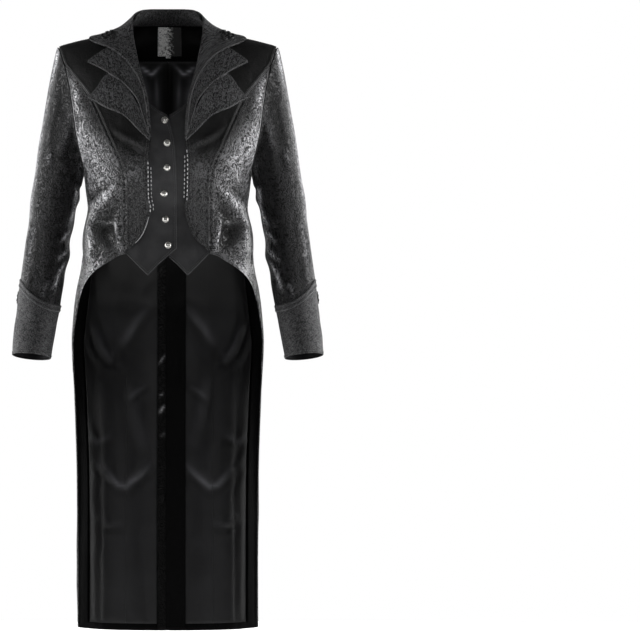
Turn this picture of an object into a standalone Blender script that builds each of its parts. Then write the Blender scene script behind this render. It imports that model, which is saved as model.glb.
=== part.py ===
# A long-tailed coat, filled out as if worn, with no wearer in it.
# Metres. +X is the wearer's left, -Y the front, +Z up. The origin is the middle of the neck.
# The body is a stack of rings: a ring angle of 0 is the front centre, 90 degrees the side, 180 the back centre.

import math

import bmesh
import bpy
import numpy as np
from mathutils import Vector

# Cloth
WALL = 0.0016
LINING_WALL = 0.0011
FACING_WALL = 0.0012
LABEL_WALL = 0.0010
SEAM_GAP = 0.0005
PLY_GAP = 0.0005
LINING_EASE = 0.0021
LINING_TOP_Z = -0.0575
LINING_SIDE_SHARE = 0.9
SQUARENESS = 2.3
SIDE_SEAM_HALF_ANGLE = 0.003
BUST_DEPTH = 0.007
BUST_ANGLE = 0.62
BUST_HALF_ANGLE = 0.36
BUST_Z = -0.215
BUST_HALF_HEIGHT = 0.060
HOLLOW_DEPTH = 0.004
HOLLOW_HALF_ANGLE = 0.20
HOLLOW_Z = -0.30
HOLLOW_HALF_HEIGHT = 0.14

# Heights
NECK_Z = 0.003
SHOULDER_Z = -0.033
PRINCESS_TOP_Z = -0.068
ARMPIT_Z = -0.272
VENT_TOP_Z = -0.900
HEM_SIDE_Z = -1.096
HEM_CENTRE_Z = -1.114
FRONT_TIP_Z = -0.410
WAIST_ROWS_END_Z = -0.430
CUTAWAY_END_Z = -0.640
LINING_HEM_RISE = 0.019
VENT_HALF_GAP = 0.0026

# Armhole and sleeve
ARMHOLE_STEPS = 12
SLEEVE_ROWS = 15
SLEEVE_HEAD_ROWS = 3.0
SLEEVE_SEAM_FRONT_STEP = 9
SLEEVE_SEAM_BACK_STEP = -8
SLEEVE_GAP = 0.0018
SLEEVE_SEAM_TRIM = 0.0075
CUFF_START_ROW = 8.70
CUFF_DIAGONAL_ROWS = 0.90
CUFF_FRONT_DIP_ROWS = 0.28
CUFF_BAND_ROWS = 0.30
CUFF_RIM_TILT = 0.006
CUFF_SEAM_ROWS = 0.010

# Collar, lapels and waistcoat
STAND_TURN_DEGREES = 116
FACING_HALF_WIDTH = 0.072
LABEL_HALF_WIDTH = 0.0223
LABEL_CENTRE_X = 0.0037
COLLAR_COLUMNS = 4
COLLAR_HALF_ROWS = 32
COLLAR_ROLL_BULGE = 0.004
LAYER_PITCH = 0.0028
LAPEL_COLUMNS = 10
VEST_DROP = 0.0027
VEST_PLY_GAP = 0.0011
VEST_UNDERLAP_X = 0.0020
VEST_NOTCH_SLOPE = 0.90
VEST_SIDE_X = 0.0790
BUTTON_RADIUS = 0.0062
BUTTON_HEIGHT = 0.0042
BUTTON_SEAT = 0.0004
CURL_RADIUS = 0.0012
CURL_TURNS = 1.6
CURL_POINTS = 16
COLLAR_CURL_SIZE = 0.0150
COLLAR_CURL_OUT = 0.0019
COLLAR_CURL_ROW = 5.6
COLLAR_CURL_SHARE = 0.52
COLLAR_ROW_LENGTH = 0.020
COLLAR_FALL_WIDTH = 0.085
CUFF_CURL_SIZE = 0.0085
CUFF_CURL_OUT = 0.0018
CUFF_CURL_ROW = 9.22
CUFF_CURL_DEGREES = -38
CUFF_ROW_LENGTH = 0.045
CUFF_RADIUS = 0.045

# Back straps
STRAP_HALF_HEIGHT = 0.0100
STRAP_WALL = 0.0022
STRAP_EASE = 0.0009
BUCKLE_CENTRE_X = 0.0019
BUCKLE_HALF_WIDTH = 0.0188
BUCKLE_HALF_HEIGHT = 0.0140
BUCKLE_PLATE_EDGE = 0.0042
BUCKLE_NOTCH = 0.0143
BUCKLE_BAR = 0.0028
BUCKLE_WALL = 0.0024
STRAP_UNDER_PLATE = 0.0040
EYELET_RADIUS = 0.0038
EYELET_HOLE_RADIUS = 0.0020
EYELET_WALL = 0.0007
EYELET_X = (0.0090, -0.0050, -0.0223)


def table(columns, *rows):
    names = columns.split()
    return {name: np.array([row[i] for row in rows], float) for i, name in enumerate(names)}


BODY = table(
    "z half_width front back",
    (0.014, 0.066, 0.008, 0.057),
    (0.003, 0.080, 0.020, 0.062),
    (-0.0115, 0.121, 0.031, 0.069),
    (-0.0215, 0.165, 0.041, 0.075),
    (-0.033, 0.203, 0.052, 0.081),
    (-0.050, 0.218, 0.066, 0.088),
    (-0.071, 0.225, 0.081, 0.093),
    (-0.100, 0.224, 0.096, 0.098),
    (-0.130, 0.217, 0.108, 0.102),
    (-0.160, 0.206, 0.116, 0.105),
    (-0.186, 0.194, 0.121, 0.106),
    (-0.215, 0.180, 0.125, 0.104),
    (-0.242, 0.167, 0.124, 0.101),
    (-0.272, 0.155, 0.119, 0.096),
    (-0.298, 0.152, 0.110, 0.089),
    (-0.335, 0.148, 0.098, 0.083),
    (-0.372, 0.151, 0.096, 0.087),
    (-0.409, 0.156, 0.098, 0.095),
    (-0.446, 0.161, 0.101, 0.104),
    (-0.484, 0.169, 0.103, 0.111),
    (-0.521, 0.174, 0.104, 0.116),
    (-0.577, 0.178, 0.104, 0.118),
    (-0.688, 0.1726, 0.100, 0.109),
    (-0.837, 0.168, 0.095, 0.095),
    (-1.000, 0.1668, 0.090, 0.081),
    (-1.115, 0.1667, 0.088, 0.073),
)

# The armhole's edge, seen from the front and from the back
ARMHOLE = table(
    "z front_x back_x",
    (-0.033, 0.2030, 0.2030),
    (-0.040, 0.1995, 0.1970),
    (-0.050, 0.1965, 0.1910),
    (-0.071, 0.1900, 0.1835),
    (-0.100, 0.1835, 0.1750),
    (-0.130, 0.1780, 0.1680),
    (-0.160, 0.1730, 0.1600),
    (-0.186, 0.1690, 0.1530),
    (-0.215, 0.1640, 0.1475),
    (-0.242, 0.1585, 0.1455),
    (-0.262, 0.1555, 0.1475),
    (-0.272, 0.1550, 0.1550),
)

FRONT_PRINCESS = table(
    "z x",
    (-0.0680, 0.1885),
    (-0.083, 0.1765),
    (-0.1215, 0.1460),
    (-0.177, 0.1165),
    (-0.228, 0.0934),
    (-0.266, 0.0805),
    (-0.292, 0.0789),
    (-0.460, 0.0789),
)

BACK_PRINCESS = table(
    "z x",
    (-0.0680, 0.1820),
    (-0.094, 0.1580),
    (-0.119, 0.1410),
    (-0.150, 0.1270),
    (-0.205, 0.1110),
    (-0.260, 0.0960),
    (-0.335, 0.0830),
    (-0.420, 0.0800),
    (-0.700, 0.0800),
    (-1.115, 0.0820),
)

# The front's inner edge: the roll line, the front edge from the lapel's break, the sweep to the princess seam
FRONT_EDGE = table(
    "z x",
    (0.003, 0.0665),
    (-0.013, 0.0650),
    (-0.030, 0.0620),
    (-0.045, 0.0588),
    (-0.060, 0.0554),
    (-0.089, 0.0480),
    (-0.129, 0.0374),
    (-0.177, 0.0330),
    (-0.205, 0.0316),
    (-0.242, 0.0355),
    (-0.312, 0.0345),
    (-0.332, 0.0310),
    (-0.353, 0.0355),
    (-0.377, 0.0440),
    (-0.392, 0.0540),
    (-0.403, 0.0670),
    (-0.410, 0.0750),
)

# The side front's lower edge, by ring angle in degrees
CUTAWAY = table(
    "angle z",
    (25, -0.4165),
    (31, -0.4190),
    (41, -0.4310),
    (51, -0.4430),
    (62, -0.4590),
    (71, -0.4800),
    (75, -0.5050),
    (80, -0.5480),
    (85, -0.5950),
    (90, -0.6400),
)

# Soft upright folds of the skirt: where, how far out they stand at the hem, and how wide they are
SKIRT_FOLDS = table(
    "angle depth width",
    (103, 0.0040, 9),
    (121, -0.0035, 9),
    (139, 0.0045, 9),
    (158, -0.0035, 9),
)
FOLDS_START_Z = -0.44
FOLDS_FULL_Z = -0.95

# Creases across the sleeve: row, angle round the sleeve in degrees, depth, half length in rows, half width
SLEEVE_CREASES = table(
    "row angle depth rows degrees",
    (3.2, 215, -0.0060, 0.45, 38),
    (4.1, 205, 0.0040, 0.45, 40),
    (5.0, 215, -0.0045, 0.45, 40),
    (6.6, 150, -0.0040, 0.40, 42),
    (7.3, 160, 0.0030, 0.35, 40),
    (8.0, 150, -0.0035, 0.40, 42),
    (5.8, 350, 0.0025, 0.50, 40),
)

# The arm's tube, row by row from the armhole to the wrist
ARM = table(
    "outer_x outer_z inner_x inner_z half_depth centre_y",
    (0.2035, -0.034, 0.1555, -0.272, 0.060, 0.004),
    (0.2115, -0.052, 0.1565, -0.277, 0.062, 0.004),
    (0.2200, -0.095, 0.1585, -0.284, 0.062, 0.004),
    (0.2290, -0.150, 0.1615, -0.295, 0.060, 0.004),
    (0.2380, -0.205, 0.1650, -0.311, 0.058, 0.005),
    (0.2470, -0.268, 0.1695, -0.337, 0.056, 0.006),
    (0.2550, -0.325, 0.1755, -0.370, 0.054, 0.006),
    (0.2625, -0.380, 0.1815, -0.408, 0.052, 0.004),
    (0.2695, -0.435, 0.1885, -0.450, 0.049, -0.001),
    (0.2765, -0.485, 0.1955, -0.493, 0.047, -0.008),
    (0.2820, -0.530, 0.2035, -0.535, 0.045, -0.016),
    (0.2870, -0.570, 0.2105, -0.574, 0.043, -0.025),
    (0.2890, -0.604, 0.2170, -0.611, 0.041, -0.033),
)
CUFF_END_ROW = len(ARM["outer_x"]) - 1.0

# The collar's roll edge and outer edge, from the back centre round to the lapel's break
COLLAR = table(
    "roll_x roll_y roll_z edge_x edge_y edge_z lift",
    (0.0000, 0.0595, 0.0390, 0.0000, 0.0690, 0.0040, 0.0030),
    (0.0240, 0.0575, 0.0390, 0.0310, 0.0675, 0.0035, 0.0030),
    (0.0430, 0.0490, 0.0380, 0.0620, 0.0620, 0.0010, 0.0030),
    (0.0575, 0.0345, 0.0335, 0.0920, 0.0500, -0.0040, 0.0030),
    (0.0650, 0.0150, 0.0260, 0.1200, 0.0330, -0.0095, 0.0030),
    (0.0668, -0.0050, 0.0160, 0.1420, 0.0100, -0.0120, 0.0030),
    (0.0660, -0.0220, 0.0020, 0.1470, -0.0200, -0.0165, 0.0045),
    (0.0645, -0.0400, -0.0130, 0.1300, -0.0400, -0.0300, 0.0066),
    (0.0625, -0.0520, -0.0270, 0.1090, -0.0510, -0.0390, 0.0078),
    (0.0590, -0.0640, -0.0440, 0.0910, -0.0610, -0.0500, 0.0080),
    (0.0554, -0.0760, -0.0600, 0.0790, -0.0700, -0.0610, 0.0080),
    (0.0528, -0.0840, -0.0725, 0.0690, -0.0800, -0.0730, 0.0082),
    (0.0475, -0.0950, -0.0910, 0.0560, -0.0910, -0.0920, 0.0080),
    (0.0420, -0.1060, -0.1120, 0.0485, -0.1020, -0.1120, 0.0080),
    (0.0374, -0.1130, -0.1290, 0.0430, -0.1100, -0.1300, 0.0080),
    (0.0340, -0.1230, -0.1620, 0.0385, -0.1200, -0.1630, 0.0078),
    (0.0322, -0.1290, -0.1990, 0.0360, -0.1290, -0.1990, 0.0076),
)
COLLAR_LAST_ROW = len(COLLAR["lift"]) - 1
COLLAR_ON_CHEST_ROW = 7.5
COLLAR_FREE_ROW = 6.0

# Lapel layers: lower edge and upper edge from the roll line out to the tip
SECOND_LAYER = table(
    "low_x low_z high_x high_z",
    (0.0330, -0.2045, 0.0345, -0.1850),
    (0.0390, -0.1860, 0.0400, -0.1350),
    (0.0560, -0.1340, 0.0560, -0.0780),
    (0.0720, -0.1130, 0.0740, -0.0560),
    (0.0850, -0.1000, 0.0880, -0.0420),
    (0.1010, -0.0900, 0.1030, -0.0340),
    (0.1180, -0.0785, 0.1190, -0.0410),
    (0.1370, -0.0690, 0.1360, -0.0520),
    (0.1480, -0.0635, 0.1478, -0.0610),
)
THIRD_LAYER = table(
    "low_x low_z high_x high_z",
    (0.0340, -0.2070, 0.0340, -0.2000),
    (0.0420, -0.2000, 0.0400, -0.1700),
    (0.0580, -0.1840, 0.0560, -0.1400),
    (0.0720, -0.1690, 0.0700, -0.1150),
    (0.0830, -0.1600, 0.0850, -0.0900),
    (0.0980, -0.1530, 0.1020, -0.0740),
    (0.1140, -0.1465, 0.1170, -0.0880),
    (0.1340, -0.1350, 0.1330, -0.1110),
    (0.1468, -0.1290, 0.1464, -0.1265),
)

# Waistcoat: its top and hem against the distance from the centre
VEST_TOP = table(
    "x z",
    (0.000, -0.159),
    (0.018, -0.148),
    (0.036, -0.134),
    (0.060, -0.114),
    (0.080, -0.100),
)
VEST_HEM = table(
    "x z",
    (0.000, -0.4215),
    (0.018, -0.4370),
    (0.0372, -0.4570),
    (0.050, -0.4450),
    (0.065, -0.4300),
    (0.080, -0.4145),
)
# The edge of the upper, right waistcoat front, past the centre
VEST_EDGE = table(
    "z x",
    (-0.158, -0.0020),
    (-0.164, 0.0020),
    (-0.182, 0.0074),
    (-0.2065, 0.0123),
    (-0.231, 0.0147),
    (-0.290, 0.0171),
)
BUTTONS = table(
    "x z",
    (-0.0060, -0.1685),
    (-0.0013, -0.2113),
    (-0.0013, -0.2574),
    (-0.0070, -0.3062),
    (-0.0043, -0.3528),
    (0.0002, -0.4006),
)

# Straps on the back waist: the buckle's height, and the height of each outer end with its distance out
STRAPS = table(
    "buckle_z left_x left_z right_x right_z",
    (-0.3516, 0.0760, -0.3450, 0.0700, -0.3395),
    (-0.4020, 0.0700, -0.3870, 0.0690, -0.3937),
)

STAND = table(
    "height half_width front back",
    (0.0038, 0.0780, 0.0180, 0.0610),
    (0.0120, 0.0670, 0.0150, 0.0590),
    (0.0200, 0.0615, 0.0130, 0.0570),
    (0.0355, 0.0590, 0.0120, 0.0540),
)
STAND_TOP = table(
    "angle z",
    (60, 0.0060),
    (80, 0.0100),
    (95, 0.0150),
    (120, 0.0270),
    (140, 0.0330),
    (180, 0.0350),
)

# The back lining's side edge, and half the width of the facing along the vent
LINING_SIDE = table(
    "z x",
    (-0.0575, 0.090),
    (-0.150, 0.115),
    (-0.272, 0.128),
    (-0.400, 0.140),
    (-0.577, 0.160),
)
VENT_FACING_HALF = table(
    "z x",
    (-0.300, 0.0004),
    (-0.470, 0.0010),
    (-0.560, 0.0240),
    (-1.115, 0.0270),
)


def smooth(knots, values, at):
    # A cubic through the knots that never overshoots them; past the ends it holds the end value.
    if knots[0] > knots[-1]:
        knots, values = knots[::-1], values[::-1]
    if at <= knots[0]:
        return float(values[0])
    if at >= knots[-1]:
        return float(values[-1])
    i = int(np.searchsorted(knots, at, side="right")) - 1
    steps = np.diff(knots)
    slopes = np.diff(values) / steps

    def tangent(j):
        if j == 0 or j == len(knots) - 1:
            return slopes[min(j, len(slopes) - 1)]
        before, after = slopes[j - 1], slopes[j]
        return 0.0 if before * after <= 0 else 2 * before * after / (before + after)

    h = steps[i]
    s = (at - knots[i]) / h
    return float(
        values[i] * (2 * s**3 - 3 * s**2 + 1)
        + values[i + 1] * (3 * s**2 - 2 * s**3)
        + h * tangent(i) * (s**3 - 2 * s**2 + s)
        + h * tangent(i + 1) * (s**3 - s**2)
    )


def by_height(rows, column, z):
    return smooth(rows["z"], rows[column], z)


def by_row(rows, column, row):
    return smooth(np.arange(len(rows[column]), dtype=float), rows[column], row)


def smoothstep(value, low, high):
    s = min(max((value - low) / (high - low), 0.0), 1.0)
    return s * s * (3 - 2 * s)


def hump(distance, width):
    return math.exp(-((distance / width) ** 2))


def skirt_fold(angle, z):
    grown = smoothstep(-z, -FOLDS_START_Z, -FOLDS_FULL_Z)
    degrees = math.degrees(angle)
    folds = zip(SKIRT_FOLDS["angle"], SKIRT_FOLDS["depth"], SKIRT_FOLDS["width"])
    return grown * sum(depth * hump(degrees - at, width) for at, depth, width in folds)


def bust(angle, z):
    return BUST_DEPTH * hump(angle - BUST_ANGLE, BUST_HALF_ANGLE) * hump(z - BUST_Z, BUST_HALF_HEIGHT)


def back_hollow(angle, z):
    return HOLLOW_DEPTH * hump(math.pi - angle, HOLLOW_HALF_ANGLE) * hump(z - HOLLOW_Z, HOLLOW_HALF_HEIGHT)


def on_ring(angle, z):
    half_width = by_height(BODY, "half_width", z)
    depth = by_height(BODY, "front" if math.cos(angle) > 0 else "back", z)
    power = 2 / SQUARENESS
    sine, cosine = math.sin(angle), math.cos(angle)
    out = skirt_fold(angle, z) + bust(angle, z) - back_hollow(angle, z)
    x = half_width * max(sine, 0.0) ** power + out * sine
    y = -math.copysign(depth * abs(cosine) ** power, cosine) - out * cosine
    return Vector((x, y, z))


def skin(angle, z, out=0.0):
    # A point of the wearer's left half, out from the body's outer face along its normal.
    here = on_ring(angle, z)
    if out == 0:
        return here
    step = 0.02
    around = on_ring(min(angle + step, math.pi), z) - on_ring(max(angle - step, 0.0), z)
    down = on_ring(angle, z - 0.003) - on_ring(angle, z + 0.003)
    if around.length < 1e-9:
        return here
    normal = around.cross(down)
    normal.normalize()
    if normal.dot(Vector((math.sin(angle), -math.cos(angle), 0.0))) < 0:
        normal.negate()
    return here + out * normal


def angle_at(x, z, back=False):
    half_width = by_height(BODY, "half_width", z)
    share = min(max(x, 0.0) / half_width, 1.0)
    angle = math.asin(share ** (SQUARENESS / 2))
    return math.pi - angle if back else angle


def armhole_rows():
    middle, half = (SHOULDER_Z + ARMPIT_Z) / 2, (SHOULDER_Z - ARMPIT_Z) / 2
    return [middle + half * math.cos(math.pi * k / ARMHOLE_STEPS) for k in range(ARMHOLE_STEPS + 1)]


def spread(top, bottom, count):
    return [top + (bottom - top) * (k + 1) / count for k in range(count)]


# Every body piece uses the same heights, so that two pieces' edges run side by side along their seam
BODY_ROWS = sorted(
    [NECK_Z, -0.004, -0.0115, -0.0215]
    + armhole_rows()
    + spread(ARMPIT_Z, WAIST_ROWS_END_Z, 7)
    + spread(WAIST_ROWS_END_Z, CUTAWAY_END_Z, 7)
    + spread(CUTAWAY_END_Z, HEM_CENTRE_Z, 6),
    reverse=True,
)


def rows_between(top, bottom, extra=()):
    near = 0.002
    kept = [z for z in BODY_ROWS if bottom - near < z < top + near]
    return sorted(set(kept) | set(extra), reverse=True)


def mirrored(point, side):
    return Vector((point.x * side, point.y, point.z))


coat = bpy.data.collections.new("tailcoat")


def finish(name, mesh_data, material, smooth_angle=50):
    thing = bpy.data.objects.new(name, mesh_data)
    coat.objects.link(thing)
    mesh_data.materials.append(material)
    mesh_data.shade_smooth()
    mesh_data.set_sharp_from_angle(angle=math.radians(smooth_angle))
    return thing


def cloth(name, columns, rows, place, outward, wall, material, closed=False):
    # A grid whose corners go to place(column, row), with a wall added on its inner side.
    shell = bmesh.new()
    bmesh.ops.create_grid(shell, x_segments=columns, y_segments=rows, size=0.5)
    for corner in shell.verts:
        column = round((corner.co.x + 0.5) * columns)
        row = round((corner.co.y + 0.5) * rows)
        corner.co = place(0 if closed and column == columns else column, row)
    bmesh.ops.remove_doubles(shell, verts=shell.verts, dist=0.00005)
    bmesh.ops.dissolve_degenerate(shell, edges=shell.edges, dist=0.00005)
    shell.normal_update()
    facing = sum(f.normal.dot(outward(f.calc_center_median())) * f.calc_area() for f in shell.faces)
    if facing < 0:
        bmesh.ops.reverse_faces(shell, faces=shell.faces)
    mesh_data = bpy.data.meshes.new(name)
    shell.to_mesh(mesh_data)
    shell.free()
    thing = finish(name, mesh_data, material)
    thickness = thing.modifiers.new("wall", "SOLIDIFY")
    thickness.thickness = wall
    thickness.offset = -1
    thickness.use_even_offset = False
    return thing


def from_axis(point):
    return Vector((point.x, point.y, 0.0))


def upward_from_neck(point):
    return Vector((point.x, point.y, 0.10))


def body_piece(name, side, columns, rows, inner, outer, wall, material, out=0.0, hem=None):
    # inner and outer give the ring angle of each edge at a height; hem gives the lowest height at an angle.
    def place(column, row):
        z = rows[row]
        share = column / columns
        angle = inner(z) + (outer(z) - inner(z)) * share
        if hem:
            for _ in range(3):
                low = hem(angle)
                if z > low + 0.004:
                    break
                z = low
                angle = inner(z) + (outer(z) - inner(z)) * share
        return mirrored(skin(angle, z, out), side)

    return cloth(name, columns, len(rows) - 1, place, from_axis, wall, material)


def seam_angle(rows, z, back=False, shift=0.0):
    return angle_at(by_height(rows, "x", z) + shift, z, back)


def armhole_angle(z, back=False):
    edge = by_height(ARMHOLE, "back_x" if back else "front_x", z)
    return angle_at(edge, z, back)


def front_side(z):
    # The shoulder seam, the armhole and then the side seam.
    seam = math.pi / 2 - SIDE_SEAM_HALF_ANGLE
    return min(armhole_angle(z), seam) if ARMPIT_Z < z < SHOULDER_Z else seam


def back_side(z):
    seam = math.pi / 2 + SIDE_SEAM_HALF_ANGLE
    return max(armhole_angle(z, back=True), seam) if ARMPIT_Z < z < SHOULDER_Z else seam


def front_outer(z):
    if z > PRINCESS_TOP_Z:
        return front_side(z)
    return seam_angle(FRONT_PRINCESS, z, shift=-SEAM_GAP / 2)


def back_outer(z):
    if z > PRINCESS_TOP_Z:
        return back_side(z)
    return seam_angle(BACK_PRINCESS, z, back=True, shift=-SEAM_GAP / 2)


def centre_back(z):
    open_gap = VENT_HALF_GAP * smoothstep(-z, -VENT_TOP_Z, -HEM_CENTRE_Z)
    return angle_at(SEAM_GAP / 2 + open_gap, z, back=True)


def tail_hem(angle):
    share = (math.pi - angle) / (math.pi / 2)
    return HEM_CENTRE_Z + (HEM_SIDE_Z - HEM_CENTRE_Z) * share**2


def cutaway_edge(angle):
    return smooth(CUTAWAY["angle"], CUTAWAY["z"], math.degrees(angle))


def front_pieces(side, tag, material):
    rows = rows_between(NECK_Z, FRONT_TIP_Z + 0.010, extra=(FRONT_TIP_Z,))
    body_piece(
        f"front_{tag}", side, 4, rows, lambda z: seam_angle(FRONT_EDGE, z), front_outer, WALL, material
    )
    rows = rows_between(PRINCESS_TOP_Z, CUTAWAY_END_Z)
    body_piece(
        f"side_front_{tag}",
        side,
        6,
        rows,
        lambda z: seam_angle(FRONT_PRINCESS, z, shift=SEAM_GAP / 2),
        front_side,
        WALL,
        material,
        hem=cutaway_edge,
    )


def back_pieces(side, tag, material):
    rows = rows_between(NECK_Z, HEM_CENTRE_Z)
    body_piece(f"back_{tag}", side, 4, rows, centre_back, back_outer, WALL, material, hem=tail_hem)
    rows = rows_between(PRINCESS_TOP_Z, HEM_CENTRE_Z)
    body_piece(
        f"side_back_{tag}",
        side,
        6,
        rows,
        lambda z: seam_angle(BACK_PRINCESS, z, back=True, shift=SEAM_GAP / 2),
        back_side,
        WALL,
        material,
        hem=tail_hem,
    )


LINING_OUT = -(WALL + LINING_EASE)


def lining_pieces(side, tag, material):
    rows = [z for z in rows_between(LINING_TOP_Z, HEM_CENTRE_Z) if z < LINING_TOP_Z - 0.004]
    rows = [LINING_TOP_Z] + rows

    def outer(z):
        widest = LINING_SIDE_SHARE * by_height(BODY, "half_width", z)
        return angle_at(min(by_height(LINING_SIDE, "x", z), widest), z, back=True)

    body_piece(
        f"lining_{tag}",
        side,
        5,
        rows,
        lambda z: seam_angle(VENT_FACING_HALF, z, back=True),
        outer,
        LINING_WALL,
        material,
        out=LINING_OUT,
        hem=lambda angle: tail_hem(angle) + LINING_HEM_RISE,
    )


def across_back(name, half_columns, rows, half_width, out, wall, material, centre_x=0.0):
    # A piece that lies across the back centre, at a distance in from the back's outer face.
    columns = 2 * half_columns

    def place(column, row):
        x = centre_x + half_width * (column / half_columns - 1)
        point = skin(angle_at(abs(x), rows[row], back=True), rows[row], out)
        return mirrored(point, 1 if x >= 0 else -1)

    return cloth(name, columns, len(rows) - 1, place, from_axis, wall, material)


def neck_inside(facing_material, label_material):
    rows = [0.0005, -0.012, -0.026, -0.041, -0.0565]
    across_back("neck_facing", 5, rows, FACING_HALF_WIDTH, LINING_OUT, FACING_WALL, facing_material)
    rows = [-0.004, -0.027, -0.050]
    label_out = LINING_OUT - FACING_WALL - PLY_GAP
    across_back("label", 1, rows, LABEL_HALF_WIDTH, label_out, LABEL_WALL, label_material, LABEL_CENTRE_X)


def collar_stand(material):
    half_columns, rows = 9, 2

    def place(column, row):
        turn = (column - half_columns) / half_columns
        angle = math.pi - abs(turn) * math.radians(STAND_TURN_DEGREES)
        top = smooth(STAND_TOP["angle"], STAND_TOP["z"], math.degrees(angle))
        z = STAND["height"][0] + (top - STAND["height"][0]) * row / rows
        half_width = smooth(STAND["height"], STAND["half_width"], z)
        depth = smooth(STAND["height"], STAND["front" if math.cos(angle) > 0 else "back"], z)
        x = half_width * math.sin(angle) ** (2 / SQUARENESS)
        y = -math.copysign(depth * abs(math.cos(angle)) ** (2 / SQUARENESS), math.cos(angle))
        return Vector((math.copysign(x, turn), y, z))

    cloth("collar_stand", 2 * half_columns, rows, place, from_axis, WALL, material)


def on_chest(x, z, out):
    return skin(angle_at(x, z), z, out)


def collar_point(row, share):
    # share is 0 at the roll edge and 1 at the outer edge, row 0 is the back centre.
    roll = Vector(by_row(COLLAR, f"roll_{axis}", row) for axis in "xyz")
    edge = Vector(by_row(COLLAR, f"edge_{axis}", row) for axis in "xyz")
    lift = by_row(COLLAR, "lift", row)
    free = roll.lerp(edge, share)
    outward = Vector((free.x, free.y, 0.05)).normalized()
    free += outward * COLLAR_ROLL_BULGE * math.sin(math.pi * share)
    lying = on_chest(free.x, free.z, lift)
    return free.lerp(lying, smoothstep(row, COLLAR_FREE_ROW, COLLAR_ON_CHEST_ROW))


def collar(material):
    def place(column, row):
        along = (row - COLLAR_HALF_ROWS) / COLLAR_HALF_ROWS
        point = collar_point(abs(along) * COLLAR_LAST_ROW, column / COLLAR_COLUMNS)
        return mirrored(point, 1 if along >= 0 else -1)

    cloth("collar", COLLAR_COLUMNS, 2 * COLLAR_HALF_ROWS, place, upward_from_neck, WALL, material)


def collar_cell(row, share):
    # The same point on the flat cells that the collar is made of.
    across, along = share * COLLAR_COLUMNS, row * COLLAR_HALF_ROWS / COLLAR_LAST_ROW
    column, step = int(across), int(along)

    def corner(i, j):
        return collar_point((step + j) * COLLAR_LAST_ROW / COLLAR_HALF_ROWS, (column + i) / COLLAR_COLUMNS)

    near = corner(0, 0).lerp(corner(1, 0), across - column)
    far = corner(0, 1).lerp(corner(1, 1), across - column)
    return near.lerp(far, along - step)


def lapel_layer(name, side, rows, layer, material):
    # Layer 0 lies on the front, each further layer one pitch above it.
    columns, across = LAPEL_COLUMNS, 4
    last = len(rows["low_x"]) - 1

    def place(column, row):
        along, share = last * column / columns, row / across
        x = by_row(rows, "low_x", along) * (1 - share) + by_row(rows, "high_x", along) * share
        z = by_row(rows, "low_z", along) * (1 - share) + by_row(rows, "high_z", along) * share
        out = LAYER_PITCH * (layer + 1)
        return mirrored(on_chest(x, z, out), side)

    cloth(name, columns, across, place, from_axis, WALL, material)


def vest_hem(x):
    # Past the centre the hem rises on, along the line of the notch.
    if x < 0:
        return VEST_HEM["z"][0] - VEST_NOTCH_SLOPE * x
    return smooth(VEST_HEM["x"], VEST_HEM["z"], x)


def vest_piece(name, side, inner_edge, out, material):
    # inner_edge gives the distance from the centre at a height, below 0 past the centre.
    columns, rows = 7, 12

    def place(column, row):
        x, z = 0.0, 0.0
        for _ in range(6):
            top = smooth(VEST_TOP["x"], VEST_TOP["z"], abs(x))
            z = top + (vest_hem(x) - top) * row / rows
            x = inner_edge(z) + (VEST_SIDE_X - inner_edge(z)) * column / columns
        point = on_chest(abs(x), z, out)
        return mirrored(point, side if x >= 0 else -side)

    cloth(name, columns, rows, place, from_axis, WALL, material)


def waistcoat(material):
    vest_piece("waistcoat_right", -1, lambda z: -by_height(VEST_EDGE, "x", z), -VEST_DROP, material)
    vest_piece("waistcoat_left", 1, lambda z: VEST_UNDERLAP_X, -VEST_DROP - WALL - VEST_PLY_GAP, material)


def buttons(material):
    for number, (x, z) in enumerate(zip(BUTTONS["x"], BUTTONS["z"]), 1):
        seat = on_chest(abs(x), z, BUTTON_SEAT - VEST_DROP)
        further = on_chest(abs(x), z, BUTTON_SEAT - VEST_DROP + BUTTON_RADIUS)
        mesh_data = bpy.data.meshes.new(f"button_{number}")
        dome = bmesh.new()
        bmesh.ops.create_uvsphere(dome, u_segments=12, v_segments=8, radius=BUTTON_RADIUS)
        cut = bmesh.ops.bisect_plane(
            dome,
            geom=dome.verts[:] + dome.edges[:] + dome.faces[:],
            plane_co=(0, 0, 0.0001),
            plane_no=(0, 0, 1),
            clear_inner=True,
        )
        rim = [edge for edge in cut["geom_cut"] if isinstance(edge, bmesh.types.BMEdge)]
        bmesh.ops.contextual_create(dome, geom=rim)
        bmesh.ops.scale(dome, verts=dome.verts, vec=(1, 1, BUTTON_HEIGHT / BUTTON_RADIUS))
        turn = (further - seat).to_track_quat("Z", "Y").to_matrix()
        bmesh.ops.rotate(dome, verts=dome.verts, cent=(0, 0, 0), matrix=turn)
        dome.to_mesh(mesh_data)
        dome.free()
        button = finish(f"button_{number}", mesh_data, material, 40)
        button.location = (x, seat.y, seat.z)


def armhole_point(turn):
    # turn 0 is the shoulder point, a quarter turn the front, half a turn the armpit.
    middle, half = (SHOULDER_Z + ARMPIT_Z) / 2, (SHOULDER_Z - ARMPIT_Z) / 2
    z = middle + half * math.cos(turn)
    back = math.sin(turn) < -1e-9
    angle = armhole_angle(z, back)
    if abs(math.sin(turn)) < 1e-6:
        angle = math.pi / 2
    point = skin(angle, z)
    return point + Vector((SLEEVE_GAP, 0.0, 0.0))


def sleeve_crease(row, turn):
    total = 0.0
    for k in range(len(SLEEVE_CREASES["row"])):
        crease = {name: column[k] for name, column in SLEEVE_CREASES.items()}
        away = (math.degrees(turn) - crease["angle"] + 180) % 360 - 180
        total += crease["depth"] * hump(row - crease["row"], crease["rows"]) * hump(away, crease["degrees"])
    return total


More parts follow.
